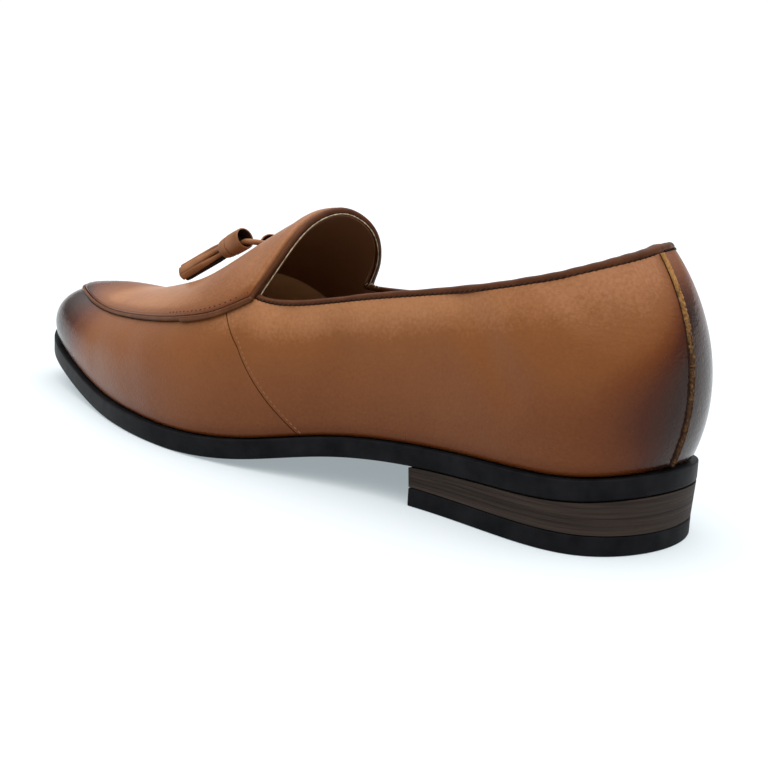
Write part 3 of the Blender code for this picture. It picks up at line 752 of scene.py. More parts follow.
def two_part_leather(name, key, back, front, border, mottle, mark_size=4.0):
    """Matte leather that changes its colour where the mesh says so, across a border of a given width."""
    material, tree, shader, place = new_material(name, roughness=0.7, shine=0.15)
    part = total(tree, attribute(tree, key), noise(tree, place, mark_size), mottle)
    colour = colours(tree, part, ((0.5 - border / 2.0, back), (0.5 + border / 2.0, front)))
    normal = bumps(tree, (noise(tree, place, size=1.2), 0.15, 0.3))
    set_inputs(tree, shader, Base_Color=colour, Normal=normal)
    return material


def stacked_leather(name):
    """Dark stacked heel with fine level layers."""
    material, tree, shader, place = new_material(name, roughness=0.55, shine=0.05)
    layers = noise(tree, place, size=30.0, detail=2.0, stretch=(0.4, 0.4, 26.0))
    fine = noise(tree, place, size=9.0, detail=4.0, stretch=(0.5, 0.5, 14.0))
    streaks = total(tree, layers, fine, amount=0.5)
    colour = colours(tree, streaks, ((0.25, (0.016, 0.012, 0.010)), (0.75, (0.042, 0.029, 0.023))))
    normal = bumps(tree, (streaks, 0.12, 0.5), (noise(tree, place, size=0.8), 0.06, 0.4))
    set_inputs(tree, shader, Base_Color=colour, Normal=normal)
    return material


def black_edge(name, roughness):
    """Inked black sole edge with faint wear."""
    material, tree, shader, place = new_material(name, roughness, shine=0.02)
    worn = noise(tree, place, size=7.0, detail=5.0)
    colour = colours(tree, worn, ((0.3, (0.005, 0.005, 0.006)), (0.8, (0.012, 0.012, 0.013))))
    gloss = spread(tree, noise(tree, place, size=3.0, detail=4.0), roughness - 0.08, roughness + 0.1)
    scuffs = noise(tree, place, size=4.0, stretch=(0.4, 0.4, 3.0))
    normal = bumps(tree, (scuffs, 0.15, 0.3), (noise(tree, place, size=0.5), 0.05, 0.3))
    set_inputs(tree, shader, Base_Color=colour, Roughness=gloss, Normal=normal)
    return material


# A plain leather has a dark and a light colour, then roughness, shine and size of grain
UPPER_LEATHER = tan_leather("upper_leather")
APRON_LEATHER = tan_leather("apron_leather")
TASSEL_LEATHER = plain_leather("tassel_leather", (0.165, 0.066, 0.026), (0.290, 0.125, 0.052), 0.45, 0.15)
# Tassel shade: dark leather of painted shade for the tassels' core and downward strips
TASSEL_SHADE = plain_leather("tassel_shade", (0.014, 0.007, 0.004), (0.026, 0.012, 0.007), 0.7, 0.1)
TRIM_LEATHER = plain_leather("trim_leather", (0.050, 0.016, 0.006), (0.082, 0.028, 0.011), 0.38, 0.06, 0.5)
PIPING_LEATHER = plain_leather("piping_leather", (0.07, 0.023, 0.008), (0.112, 0.04, 0.015), 0.38, 0.06, 0.5)
LINING_LEATHER = plain_leather("lining_leather", (0.100, 0.042, 0.018), (0.140, 0.060, 0.026), 0.65, 0.15)
VAMP_LINING = two_part_leather("vamp_lining", "forepart", (0.115, 0.048, 0.02), (0.5, 0.33, 0.2), 0.04, 0.02)
SOCK_LEATHER = plain_leather("sock_leather", (0.34, 0.22, 0.13), (0.44, 0.30, 0.18), 0.6, 0.15)
RAW_EDGE = two_part_leather("raw_edge", "fresh", (0.045, 0.020, 0.008), (0.30, 0.150, 0.045), 0.7, 0.9, 0.8)
CREAM_EDGE = plain_leather("cream_edge", (0.36, 0.30, 0.20), (0.55, 0.47, 0.34), 0.8, 0.1)
# Dark thread and needle holes, also used for painted shade in the tassel bores and under the piping
DARK_THREAD_AND_SHADE = plain_leather("dark_thread_and_shade", (0.012, 0.006, 0.004), (0.024, 0.011, 0.007), 0.7, 0.08)
TAN_THREAD = plain_leather("tan_thread", (0.16, 0.07, 0.03), (0.24, 0.11, 0.05), 0.7)
SOLE_BLACK = black_edge("sole_black", 0.36)
LIFT_BLACK = black_edge("lift_black", 0.5)
HEEL_STACK = stacked_leather("heel_stack")


# Leather panels

# Burnish and painted shade of the walls as shares of the darkest. Each soft step: start, full end, amount
RUB = 0.18
RUB_TOE = (240.0, 290.0, 0.92)
# down the wall and at the sole: burnish at the feather line, with painted shade near the floor
RUB_AND_SHADE_DOWN_WALL = (0.85, 0.0, 0.16)
RUB_AND_SHADE_AT_SOLE = (6.0, -1.0, 0.15)
# Higher up, the toe's rub reaches further back: for each millimetre, from this height and over this band
RUB_TOE_LEAN = 0.6
RUB_TOE_LEAN_FROM = 6.0
RUB_TOE_LEAN_BAND = 16.0
# Rub down the back of the heel on each side: breadth, darkness, and the soft step by which it fades upwards
RUB_BACK = {1.0: (3.0, 0.76, (28.0, 56.0, 0.70)), -1.0: (26.0, 0.92, (40.0, 60.0, 0.72))}
# How it broadens low down (middle, half height and amount), and how sharply it falls off
RUB_BACK_SWELL = (16.0, 19.0, 16.0)
RUB_BACK_FALL = 1.5
# Painted highlight of the sheen under the collar: soft steps up the wall and along the shoe, and its strength
PAINTED_SHEEN_UP = (0.62, 0.96)
PAINTED_SHEEN_BACK = (165.0, 135.0)
PAINTED_SHEEN = 0.07
PAINTED_SHEEN_MORE = (15.0, 80.0, 0.08)
# Millimetres round the back of the heel for a turn of one radian
HEEL_CURVE = 70.0


def crease_relief(points):
    """Height of the soft troughs and of the low swells beside them."""
    height = np.zeros(points.shape[:-1])
    for side, s_from, v_from, s_to, v_to, depth, width in CREASES:
        start = last(side * angle_of(s_from), v_from)
        run = last(side * angle_of(s_to), v_to) - start
        share = np.clip(((points - start) @ run) / (run @ run), 0.0, 1.0)
        gap = np.linalg.norm(points - start - share[..., None] * run, axis=-1) / width
        height -= depth * (1.0 - gap ** 2) * np.exp(-gap ** 2)
    return height


def rub_and_shading(points, phi, share):
    """Darkness: burnish at the toe, heel and sole, with painted shade low down and a painted highlight by the
    collar.
    """
    s = points[..., 0]
    low = points[..., 2] - sole_top_z(s)
    toe = smooth(s + RUB_TOE_LEAN * np.clip(low - RUB_TOE_LEAN_FROM, 0.0, RUB_TOE_LEAN_BAND), *RUB_TOE)

    def back(side):
        breadth, dark, fade = RUB_BACK[side]
        breadth = breadth + bump(low, *RUB_BACK_SWELL)
        near = np.exp(-(np.abs(phi) * HEEL_CURVE / breadth) ** RUB_BACK_FALL)
        return dark * (1.0 - smooth(low, *fade)) * near

    heel = np.where(phi >= 0.0, back(1.0), back(-1.0))
    # burnish at the feather line, with painted shade low down
    sole = smooth(share, *RUB_AND_SHADE_DOWN_WALL) + smooth(low, *RUB_AND_SHADE_AT_SOLE)
    # painted highlight: lighter leather under the collar
    painted_sheen = smooth(share, *PAINTED_SHEEN_UP) * smooth(s, *PAINTED_SHEEN_BACK) * (PAINTED_SHEEN + smooth(s, *PAINTED_SHEEN_MORE))
    return np.clip(RUB - painted_sheen + toe + heel + sole, 0.0, 1.0)


def feather(points):
    """How far the leather turns in under itself just above the sole."""
    low = points[..., 2] - sole_top_z(points[..., 0])
    return -FEATHER_TUCK * np.clip(1.0 - low / FEATHER_ROLL, 0.0, 1.0) ** 2


def add_wall(name, phi):
    """A panel of the upper's wall: a sheet with creases, turned in at the sole."""
    v = ROW_SHARES * wall_top(phi)
    base = last(phi, v)
    relief = crease_relief(base) + feather(base)
    add_shell(name, skin(phi, v, relief), skin(phi, v, relief - LEATHER), UPPER_LEATHER, "upper_leather",
              "upper", values={"rub_and_shading": rub_and_shading(base, phi, ROW_SHARES)})


def seam_angles(side, share):
    """Angle of the side seam at each share of the wall's height."""
    theta = angle_of(SIDE_SEAM["s"])
    knots = SIDE_SEAM["v"] / wall_top(theta)
    return spline(knots / knots[-1], theta)(share) * CORNER[side] / CORNER[1.0]


# Shares up the wall, closer together at the sole
ROW_SHARES = np.linspace(0.0, 1.0, WALL_ROWS + 1) ** LINE_CROWDING
# Half gap at the side seam, in radians, and at the back seam, as a share of the quarter's length
SEAM_GAP = 0.0015
BACK_GAP = 0.0006


def add_quarters():
    """The two quarters, from the back seam to the side seams."""
    corner = CORNER[1.0] / float(seam_angles(1.0, 1.0))
    u = np.concatenate([np.linspace(BACK_GAP, corner, QUARTER_COLUMNS),
                        np.linspace(corner, 1.0, CORNER_COLUMNS)[1:]])[:, None]
    for side in SIDES:
        add_wall("quarter_" + SIDE_NAMES[side], side * u * (seam_angles(side, ROW_SHARES) - SEAM_GAP))


def add_vamp():
    """The vamp's wall, from side seam to side seam round the toe."""
    start, end = (seam_angles(side, ROW_SHARES) + SEAM_GAP for side in SIDES)
    u = np.linspace(0.0, 1.0, VAMP_COLUMNS + 1)[:, None]
    add_wall("vamp", wrap(start + (2.0 * math.pi - start - end) * u))


def lengths(points, axis):
    """Distance along each row or column of a grid, from its start."""
    steps = np.linalg.norm(np.diff(points, axis=axis), axis=-1)
    start = np.zeros_like(np.take(steps, [0], axis=axis))
    return np.cumsum(np.concatenate([start, steps], axis=axis), axis=axis)


# Edge of the apron: how far in it is rounded, and how far its underside stays off the last
APRON_EDGE_ROUND = 1.0
APRON_UNDER = 0.1
# Soft roll along the throat and the trough of its stitches: distance from the edge, half width and height
EDGE_ROLL = (3.4, 3.0, 0.45)
TROUGH_AT = 1.2
TROUGH_WIDTH = 0.6
TROUGH_DEPTH = 0.30
# Distance from the seam over which the roll and the creases rise
ROLL_RISE = 6.0
CREASE_RISE = 8.0
# Burnish of the apron: all over, soft steps to the back and to the toe, and a bell along its edge
APRON_RUB = 0.05
APRON_RUB_BACK = (200.0, 160.0, 0.07)
APRON_RUB_TOE = (242.0, 284.0, 0.66)
APRON_RUB_EDGE = (0.0, 3.0, 0.25)


def add_apron():
    """The apron with its tongue: rounded at the seam, with a soft roll along the throat."""
    forward = np.linspace(0.0, 1.0, APRON_COLUMNS_FORWARD + 1) ** CROWDING
    up = np.linspace(0.0, 1.0, APRON_ROWS + 1) ** CROWDING
    grids = [apron_side(side, forward, up) for side in SIDES]
    base = over_ridge(*(last(*grid) for grid in grids))
    normal = unit(over_ridge(*(outward(*grid) for grid in grids)))
    across = lengths(base, 1)
    edge = np.minimum(across, across[:, -1:] - across)
    back = lengths(base, 0)
    near = np.clip(np.minimum(edge, back) / APRON_EDGE_ROUND, 0.0, 1.0)
    rounding = np.sqrt(1.0 - (1.0 - near) ** 2)
    roll = bump(back, *EDGE_ROLL) - bump(back, TROUGH_AT, TROUGH_WIDTH, TROUGH_DEPTH)
    height = (GAP + APRON_THICKNESS * rounding + roll * smooth(edge, 0.0, ROLL_RISE)
              + crease_relief(base) * smooth(edge, 0.0, CREASE_RISE))
    s = base[..., 0]
    dark = (APRON_RUB + smooth(s, *APRON_RUB_BACK) + smooth(s, *APRON_RUB_TOE)
            + bump(edge, *APRON_RUB_EDGE))
    add_shell("apron_panel", base + normal * height[..., None], base + normal * APRON_UNDER, APRON_LEATHER,
              "apron_leather", "apron", values={"rub_and_shading": np.clip(dark, 0.0, 1.0)}, zipped=True)


# The lighter forepart of the lining: its border along the shoe at one height, and how that slopes forward
FOREPART_S = 168.4
FOREPART_Z = 47.9
FOREPART_BAND = (-20.0, 8.0)
FOREPART_SLOPE = 1.3
FOREPART_BLEND = 40.0
# How far the vamp's lining runs back under the throat's binding, as a share of its length
LINING_LAP = 0.005
# How far the vamp's lining lies inside the quarters' lining
LINING_INSIDE = 0.05


def add_linings():
    """Lining of the quarters round the heel, and of the vamp from the throat to the toe."""
    turn = np.linspace(-CORNER[-1.0], CORNER[1.0], 2 * LINING_COLUMNS + 1)[:, None]
    up = np.linspace(0.0, 1.0, LINING_ROWS + 1)
    v = up * wall_top(turn)
    outside, inside = skin(turn, v, LINING_TOP), skin(turn, v, -WALL)
    add_shell("quarter_lining", outside, inside, LINING_LEATHER, "sock_leather", "upper")
    forward = np.linspace(0.0, 1.0, LINING_COLUMNS + 1) ** LINE_CROWDING * (1.0 + LINING_LAP) - LINING_LAP
    grids = []
    for side in SIDES:
        phi, v = apron_side(side, forward, up)
        wall = up[:-1] * v[:, :1]
        phi = np.concatenate([np.broadcast_to(phi[:, :1], wall.shape), phi], axis=1)
        grids.append((phi, np.concatenate([wall, v], axis=1)))
    outside, inside = (over_ridge(*(skin(*grid, height - LINING_INSIDE) for grid in grids))
                       for height in (LINING_TOP, -WALL))
    border = FOREPART_S + np.clip(inside[..., 2] - FOREPART_Z, *FOREPART_BAND) * FOREPART_SLOPE
    forepart = np.clip(0.5 + (inside[..., 0] - border) / FOREPART_BLEND, 0.0, 1.0)
    add_shell("vamp_lining", outside, inside, VAMP_LINING, "sock_leather", "upper",
              values={"forepart": forepart}, zipped=True)


# Trim

# Facets round the cords, and how finely the lines along the edges are divided
CORD_SIDES = 14
THIN_SIDES = 8
THROAT_STEPS = 60
SEAM_STEPS = 160
FINE_STEPS = 300
# Steps of the coarser lines that give both directions at the throat's corner
CORNER_THROAT_STEPS = 9
CORNER_SEAM_STEPS = 20
# Piping: its gap to the leather, its radius as a share of the full one, and how that tapers along the seam
PIPING_SEAT = 0.05
PIPING_FULL = 0.70
PIPING_TAPER = (160.0, 280.0, 0.16)
# Radius of the throat's cord as a share of the full one, at the corner on each side and at the ridge
THROAT_THIN = {1.0: 0.60, -1.0: 1.05}
THROAT_FULL = 0.96
# Second turn of the piping beside the seam's rear end
PIPING_LAP_END = 171.0
PIPING_LAP_SHIFT = 0.30
PIPING_LAP_START = 0.6
# Dark cord between piping and wall: painted shadow under the piping
PIPING_SHADOW_SHIFT = -0.30
PIPING_SHADOW_HEIGHT = 0.10
PIPING_SHADOW_RADIUS = 0.28


def beside(points, normals, side, distance, height):
    """Moves a line sideways within the surface, to its outer side, and off the surface."""
    run = np.gradient(points, axis=0)
    sideways = unit(side * np.cross(normals, run))
    return points + sideways * np.asarray(distance)[..., None] + normals * np.asarray(height)[..., None]


def apron_edge(side, count):
    """Points and normals along the apron's seam, throat to toe."""
    forward = np.linspace(0.0, 1.0, count + 1) ** LINE_CROWDING
    phi, v = (grid[:, 0] for grid in apron_side(side, forward, np.zeros(1)))
    return last(phi, v), outward(phi, v)


def throat_edge(side, count):
    """Points and normals up the throat's edge, corner to ridge."""
    phi, v = (grid[0] for grid in apron_side(side, np.zeros(1), np.linspace(0.0, 1.0, count + 1)))
    return last(phi, v), outward(phi, v)


def seam_line(side, count):
    """Middle of the piping along the apron seam, throat to toe, and its radii, which taper to the toe."""
    points, normals = apron_edge(side, count)
    radii = PIPING_RADIUS * (PIPING_FULL - smooth(points[:, 0], *PIPING_TAPER))
    return beside(points, normals, side, radii + PIPING_SEAT, radii + PIPING_SEAT), radii


def throat_line(side, count):
    """Middle of the piping up the throat's edge, corner to ridge, and its radii."""
    points, normals = throat_edge(side, count)
    share = np.linspace(0.0, 1.0, count + 1)
    sunk = np.clip(THROAT_SINK_RATE * share, 0.0, 1.0)
    radii = THROAT_RADIUS * (THROAT_THIN[side] + (THROAT_FULL - THROAT_THIN[side]) * share)
    height = (radii + PIPING_SEAT) * (1.0 - sunk) - THROAT_SINK * sunk
    return beside(points, normals, -side, radii + PIPING_SEAT, height), radii


def add_piping():
    """Bound edge of the apron: throat and seam cords, a lap and a cord of painted shadow on each side."""
    full = PIPING_RADIUS * PIPING_FULL
    turn = {}
    for side in SIDES:
        corner = last(side * CORNER[side], CORNER_SHARE[side])
        up = throat_line(side, CORNER_THROAT_STEPS)[0][0] - corner
        out = seam_line(side, CORNER_SEAM_STEPS)[0][0] - corner
        turn[side] = [corner + (up + out) * CORNER_ROUND]
    (up, up_radii), (down, down_radii) = (throat_line(side, THROAT_STEPS) for side in SIDES)
    (back, back_radii), (out, out_radii) = (seam_line(side, SEAM_STEPS) for side in SIDES)
    points = np.concatenate([up, down[-2::-1]])
    radii = np.concatenate([up_radii, down_radii[-2::-1]])
    add_tube("piping_throat", points, radii, CORD_SIDES, TRIM_LEATHER, "trim_leather", "apron_piping")
    points = np.concatenate([down[:2][::-1], turn[-1.0], out, back[-2::-1], turn[1.0], up[:2]])
    radii = np.concatenate([down_radii[:2], [full], out_radii, back_radii[-2::-1], [full], up_radii[:2]])
    add_tube("piping_seam", points, radii, CORD_SIDES, PIPING_LEATHER, "trim_leather", "apron_piping")
    for side in SIDES:
        line = beside(*apron_edge(side, SEAM_STEPS), side, PIPING_RADIUS + PIPING_LAP_SHIFT, full)
        line = line[line[:, 0] < PIPING_LAP_END]
        radii = full * np.linspace(PIPING_LAP_START, 1.0, len(line))
        add_tube("piping_lap_" + SIDE_NAMES[side], line, radii, CORD_SIDES, PIPING_LEATHER, "trim_leather")
        # dark cord of painted shadow under the piping
        reach = 2.0 * seam_line(side, FINE_STEPS)[1] + PIPING_SEAT + PIPING_SHADOW_SHIFT
        line = beside(*apron_edge(side, FINE_STEPS), side, reach, PIPING_SHADOW_HEIGHT)
        add_tube("piping_shadow_line_" + SIDE_NAMES[side], line, PIPING_SHADOW_RADIUS, THIN_SIDES, DARK_THREAD_AND_SHADE,
                 "trim_leather")


# Needle holes: their stretch along the shoe, step, distance from the seam, depth and size
HOLE_LINE_STEPS = 400
HOLE_FROM = 139.0
HOLE_TO = 182.0
HOLE_STEP = 2.6
HOLE_INSET = 1.5
HOLE_DEPTH = 0.05
HOLE_SIZE = (0.75, 0.6, 0.3)


def add_holes():
    """Small dark needle holes in the apron, a little above the rear stretch of its seam."""
    for side in SIDES:
        points, normals = apron_edge(side, HOLE_LINE_STEPS)
        line = beside(points, normals, -side, HOLE_INSET, GAP + APRON_THICKNESS - HOLE_DEPTH)
        kept = (line[:, 0] > HOLE_FROM) & (line[:, 0] < HOLE_TO)
        add_stitches("needle_holes_" + SIDE_NAMES[side], line[kept], normals[kept], HOLE_STEP, HOLE_SIZE,
                     DARK_THREAD_AND_SHADE, "apron_leather")


# Collar binding: its radius as a share of the full one, its gap to the wall, and its uneven fullness
BINDING_STEPS = 220
BINDING_FACETS = 18
BINDING_SLIM_HEEL = 0.90
BINDING_SLIM_THROAT = 0.80
BINDING_SEAT = 0.1
BINDING_FULL = 0.1
BINDING_SIDE = {1.0: 1.0, -1.0: 0.93}
# Waves of a cord's radius: height, rate and start
BINDING_WAVES = ((0.05, 95.0, 0.0), (0.04, 41.0, 1.0))
# Its stitches: both ends as angles, how far up the binding, height over the last, step, size and slant
STITCH_LINE_STEPS = 400
STITCH_FROM = 0.05
STITCH_END = 0.01
STITCH_RISE = 0.3
STITCH_HEIGHT = 0.12
STITCH_STEP = 1.9
STITCH_SIZE = (1.7, 0.46, 0.46)
STITCH_SLANT = math.radians(24.0)


def waves(places, rows):
    """Sum of waves, each with a height, a rate and a start."""
    return sum(height * np.sin(places * rate + start) for height, rate, start in rows)


def binding_line(side, count):
    """Middle of the collar binding on one side, from the back of the heel to just short of the throat."""
    phi = side * np.linspace(0.0, CORNER[side], count + 1)
    slim = BINDING_SLIM_HEEL + (BINDING_SLIM_THROAT - BINDING_SLIM_HEEL) * np.abs(phi) / CORNER[side]
    radii = binding_radius(phi) * slim
    line = skin(phi, raised(phi, collar_share(phi), radii + BINDING_SEAT), -WALL / 2.0)
    kept = ahead_of_throat(side, line) < -BINDING_END
    return line[kept], radii[kept]


def add_binding():
    """The rolled binding along the topline, a length on each side from the back seam, with its stitches."""
    for side in SIDES:
        line, radii = binding_line(side, BINDING_STEPS)
        uneven = waves(np.linspace(0.0, 1.0, len(line)), BINDING_WAVES)
        radii = (radii + BINDING_FULL + uneven) * BINDING_SIDE[side]
        add_tube("binding_" + SIDE_NAMES[side], line, radii, BINDING_FACETS, TRIM_LEATHER, "trim_leather",
                 "collar_binding")
        phi = side * np.linspace(STITCH_FROM, CORNER[side] - STITCH_END, STITCH_LINE_STEPS)
        v = raised(phi, collar_share(phi), STITCH_RISE)
        add_stitches("binding_stitches_" + SIDE_NAMES[side], skin(phi, v, STITCH_HEIGHT), outward(phi, v),
                     STITCH_STEP, STITCH_SIZE, DARK_THREAD_AND_SHADE, "trim_leather", slant=side * STITCH_SLANT)


# Cross-section of the back seam: place across it and height
BACK_SEAM_PROFILE = (
    (-1.0, -0.2), (-0.85, 0.5), (-0.45, 0.85), (-0.08, 0.55),
    (0.08, 0.55), (0.45, 0.85), (0.85, 0.5), (1.0, -0.2),
)
BACK_SEAM_ROWS = 150
BACK_SEAM_SEED = 7
# Shares by which it stops short of the sole and of the collar, and how much it narrows towards the sole
BACK_SEAM_FROM = 0.01
BACK_SEAM_END = 0.004
BACK_SEAM_NARROW = 0.3
# Roughness across, in height and in colour, and how deep it is sunk into the wall
BACK_ROUGH_ACROSS = 0.10
BACK_ROUGH_HEIGHT = 0.12
BACK_ROUGH_COLOUR = 0.10
BACK_SEAM_SINK = 0.4
# How fresh the raw edge looks at the sole, and the soft step up to the collar
BACK_FRESH = 0.15
BACK_FRESH_MORE = (0.38, 0.98, 0.75)
BACK_GROOVE_AT = 1.15
BACK_GROOVE_RADIUS = 0.2
TURN_STEP = 0.01


def add_back_seam():
    """The raised seam down the middle of the heel: two raw edges pressed together, between two grooves."""
    top = float(collar_share(np.array([0.0]))[0])
    share = np.linspace(BACK_SEAM_FROM, top - BACK_SEAM_END, BACK_SEAM_ROWS + 1)
    rate = float(np.linalg.norm(plan(np.array([TURN_STEP])) - plan(np.array([0.0]))) / TURN_STEP)
    across, height = np.array(BACK_SEAM_PROFILE).T[..., None]
    rough = np.random.default_rng(BACK_SEAM_SEED).normal(0.0, 1.0, (len(across), len(share)))
    narrow = 1.0 - BACK_SEAM_NARROW + BACK_SEAM_NARROW * share / top
    phi = (across * narrow + BACK_ROUGH_ACROSS * rough) / rate
    outer = skin(phi, share, height + BACK_ROUGH_HEIGHT * rough * (height > 0.0))
    fresh = BACK_FRESH + smooth(share / top, *BACK_FRESH_MORE) + BACK_ROUGH_COLOUR * rough
    inner = skin(phi, share, -BACK_SEAM_SINK)
    add_shell("back_ridge", outer, inner, RAW_EDGE, "raw_edge_leather", "back_seam",
              values={"fresh": np.clip(fresh, 0.0, 1.0)})
    for side in SIDES:
        line = last(side * BACK_GROOVE_AT / rate, share)
        add_tube("back_groove_" + SIDE_NAMES[side], line, BACK_GROOVE_RADIUS, THIN_SIDES, DARK_THREAD_AND_SHADE,
                 "raw_edge_leather")


# Stitches of the side seam: shares up the wall, angle behind the seam, height, step and size
SIDE_STITCH_SHARES = np.linspace(0.03, 0.97, 120)
SIDE_STITCH_BEHIND = 0.010
SIDE_STITCH_HEIGHT = -0.05
SIDE_STITCH_STEP = 1.9
SIDE_STITCH_SIZE = (1.3, 0.35, 0.3)
# Cross stitches in the throat's trough: height over it, step, start and size
CROSS_LINE_STEPS = 200
CROSS_STITCH_HEIGHT = 0.03
CROSS_STITCH_STEP = 1.25
CROSS_STITCH_START = 4.0
CROSS_STITCH_SIZE = (1.5, 0.42, 0.36)


def add_stitch_lines():
    """Fine stitches up both side seams, and short cross stitches in the trough along the throat."""
    for side in SIDES:
        phi = side * (seam_angles(side, SIDE_STITCH_SHARES) - SIDE_STITCH_BEHIND)
        v = SIDE_STITCH_SHARES * wall_top(phi)
        add_stitches("side_stitches_" + SIDE_NAMES[side], skin(phi, v, SIDE_STITCH_HEIGHT), outward(phi, v),
                     SIDE_STITCH_STEP, SIDE_STITCH_SIZE, TAN_THREAD, "upper_leather")
        points, normals = throat_edge(side, CROSS_LINE_STEPS)
        height = GAP + APRON_THICKNESS - TROUGH_DEPTH + CROSS_STITCH_HEIGHT
        line = beside(points, normals, side, TROUGH_AT, height)
        add_stitches("throat_stitches_" + SIDE_NAMES[side], line, normals, CROSS_STITCH_STEP,
                     CROSS_STITCH_SIZE, TAN_THREAD, "apron_leather", slant=math.pi / 2.0,
                     start=CROSS_STITCH_START)


# Pale line inside the throat: its distance in radii of the cord, its height, and its uneven radius
CREAM_REACH = 1.6
CREAM_HEIGHT = -1.45
CREAM_RADIUS = 0.14
CREAM_WAVES = ((0.05, 1.9, 0.0), (0.04, 0.73, 0.0))
CREAM_SHORT = 2


def add_throat_edge():
    """The raw edge of the lining, which shows as a thin pale line inside the throat's binding."""
    lines = []
    for side in SIDES:
        reach = throat_line(side, THROAT_STEPS)[1] * CREAM_REACH + PIPING_SEAT
        lines.append(beside(*throat_edge(side, THROAT_STEPS), -side, reach, CREAM_HEIGHT))
    line = np.concatenate([lines[0], lines[1][-2::-1]])[CREAM_SHORT:-CREAM_SHORT]
    radii = CREAM_RADIUS + waves(np.arange(len(line)), CREAM_WAVES)
    add_tube("throat_raw_edge", line, radii, THIN_SIDES, CREAM_EDGE, "raw_edge_leather")


# Loose fibres at the throat's inner corner: number, stretch, shift, scatter, pull along the binding and size
RAW_END_SEED = 5
RAW_END_COUNT = 14
RAW_END_REACH = 7.0
RAW_END_SHIFT = (0.0, 0.4, 0.9)
RAW_END_SCATTER = 0.25
RAW_END_PULL = 1.5
RAW_END_SIZE = (1.3, 0.4, 0.4)


def add_raw_ends():
    """A few loose raw fibres where the inner side's binding ends at the throat."""
    rng = np.random.default_rng(RAW_END_SEED)
    line, _ = binding_line(-1.0, BINDING_STEPS)
    near = line[np.linalg.norm(line - line[-1], axis=1) < RAW_END_REACH]
    picks = near[rng.integers(0, len(near), RAW_END_COUNT)]
    places = picks + rng.normal(0.0, RAW_END_SCATTER, picks.shape) + np.array(RAW_END_SHIFT)
    runs = unit(rng.normal(0.0, 1.0, picks.shape) + unit(line[-1] - line[-2]) * RAW_END_PULL)
    ups = np.broadcast_to([0.0, 0.0, 1.0], picks.shape)
    add_beads("throat_raw_ends", places, runs, ups, RAW_END_SIZE, CREAM_EDGE, "raw_edge_leather")


# Facing of the throat: steps from cord to lining, its depth under the last and its thickness
FACING_STEPS = 6
FACING_DEPTH = 1.6
FACING_THICKNESS = 0.25


def add_throat_facing():
    """The facing that closes the throat, from the binding in to the lining's edge."""
    share = np.linspace(0.0, 1.0, FACING_STEPS)[None, :, None]
    for side in SIDES:
        points, normals = throat_edge(side, THROAT_STEPS)
        cord = throat_line(side, THROAT_STEPS)[0]
        outer = cord[:, None] * (1.0 - share) + (points - FACING_DEPTH * normals)[:, None] * share
        add_shell("throat_facing_" + SIDE_NAMES[side], outer, outer - FACING_THICKNESS * normals[:, None],
                  LINING_LEATHER, "sock_leather")


# Bottom stock

# Steps round the sole's upper and lower edge
SOLE_ARC_STEPS = 5
# Heel: number of layers, how far it stands in at its top, and one layer's edge as share of height and inset
LAYER_COUNT = 6
HEEL_TOP_INSET = 0.1
LAYER_PROFILE = ((0.0, 0.09), (0.07, 0.0), (0.93, 0.0))
# Edges of the top lift and of the sock from the bottom up: inset and height
LIFT_PROFILE = ((0.5, 0.0), (0.15, 0.15), (0.0, 0.5), (0.0, LIFT_THICKNESS - 0.3), (0.25, LIFT_THICKNESS))
SOCK_PROFILE = ((0.0, 0.0), (0.0, INSOLE_THICKNESS - 0.6), (0.6, INSOLE_THICKNESS))


def over(line, rise):
    """A height along the shoe that stays a rise above a line."""
    return lambda s: line(s) + rise


def layer_z(share):
    """Height along the shoe at a share of the way up the stacked heel."""
    return lambda s: LIFT_THICKNESS + GAP + (under_line(s) - 2.0 * GAP - LIFT_THICKNESS) * share


def add_plate(name, theta_end, levels, *about):
    """A flat piece of the bottom stock: outlines at rising levels, closed by faces across top and bottom."""
    whole = theta_end >= math.pi
    theta = np.linspace(0.0, theta_end, FINE_EDGE_COLUMNS if whole else FINE_EDGE_COLUMNS // 2)
    count = len(theta)
    phi = np.concatenate([theta, -(theta[1:-1] if whole else theta[1:])[::-1]])
    size = len(phi)
    points = []
    for inset, height in levels:
        edge = outline(phi, np.full(size, inset))
        points.append(np.column_stack([edge, height(edge[:, 0])]))
    faces = ring_faces(len(levels), size, capped=False)
    pairs = [(i, size - i) for i in range(1, count - 1 if whole else count)]
    for base in (0, (len(levels) - 1) * size):
        faces.append([base, base + pairs[0][0], base + pairs[0][1]])
        faces += [[base + a, base + c, base + d, base + b] for (a, b), (c, d) in zip(pairs, pairs[1:])]
        if whole:
            faces.append([base + pairs[-1][0], base + count - 1, base + pairs[-1][1]])
    add_piece(name, np.concatenate(points), faces, *about, sharp=PLATE_SHARP)


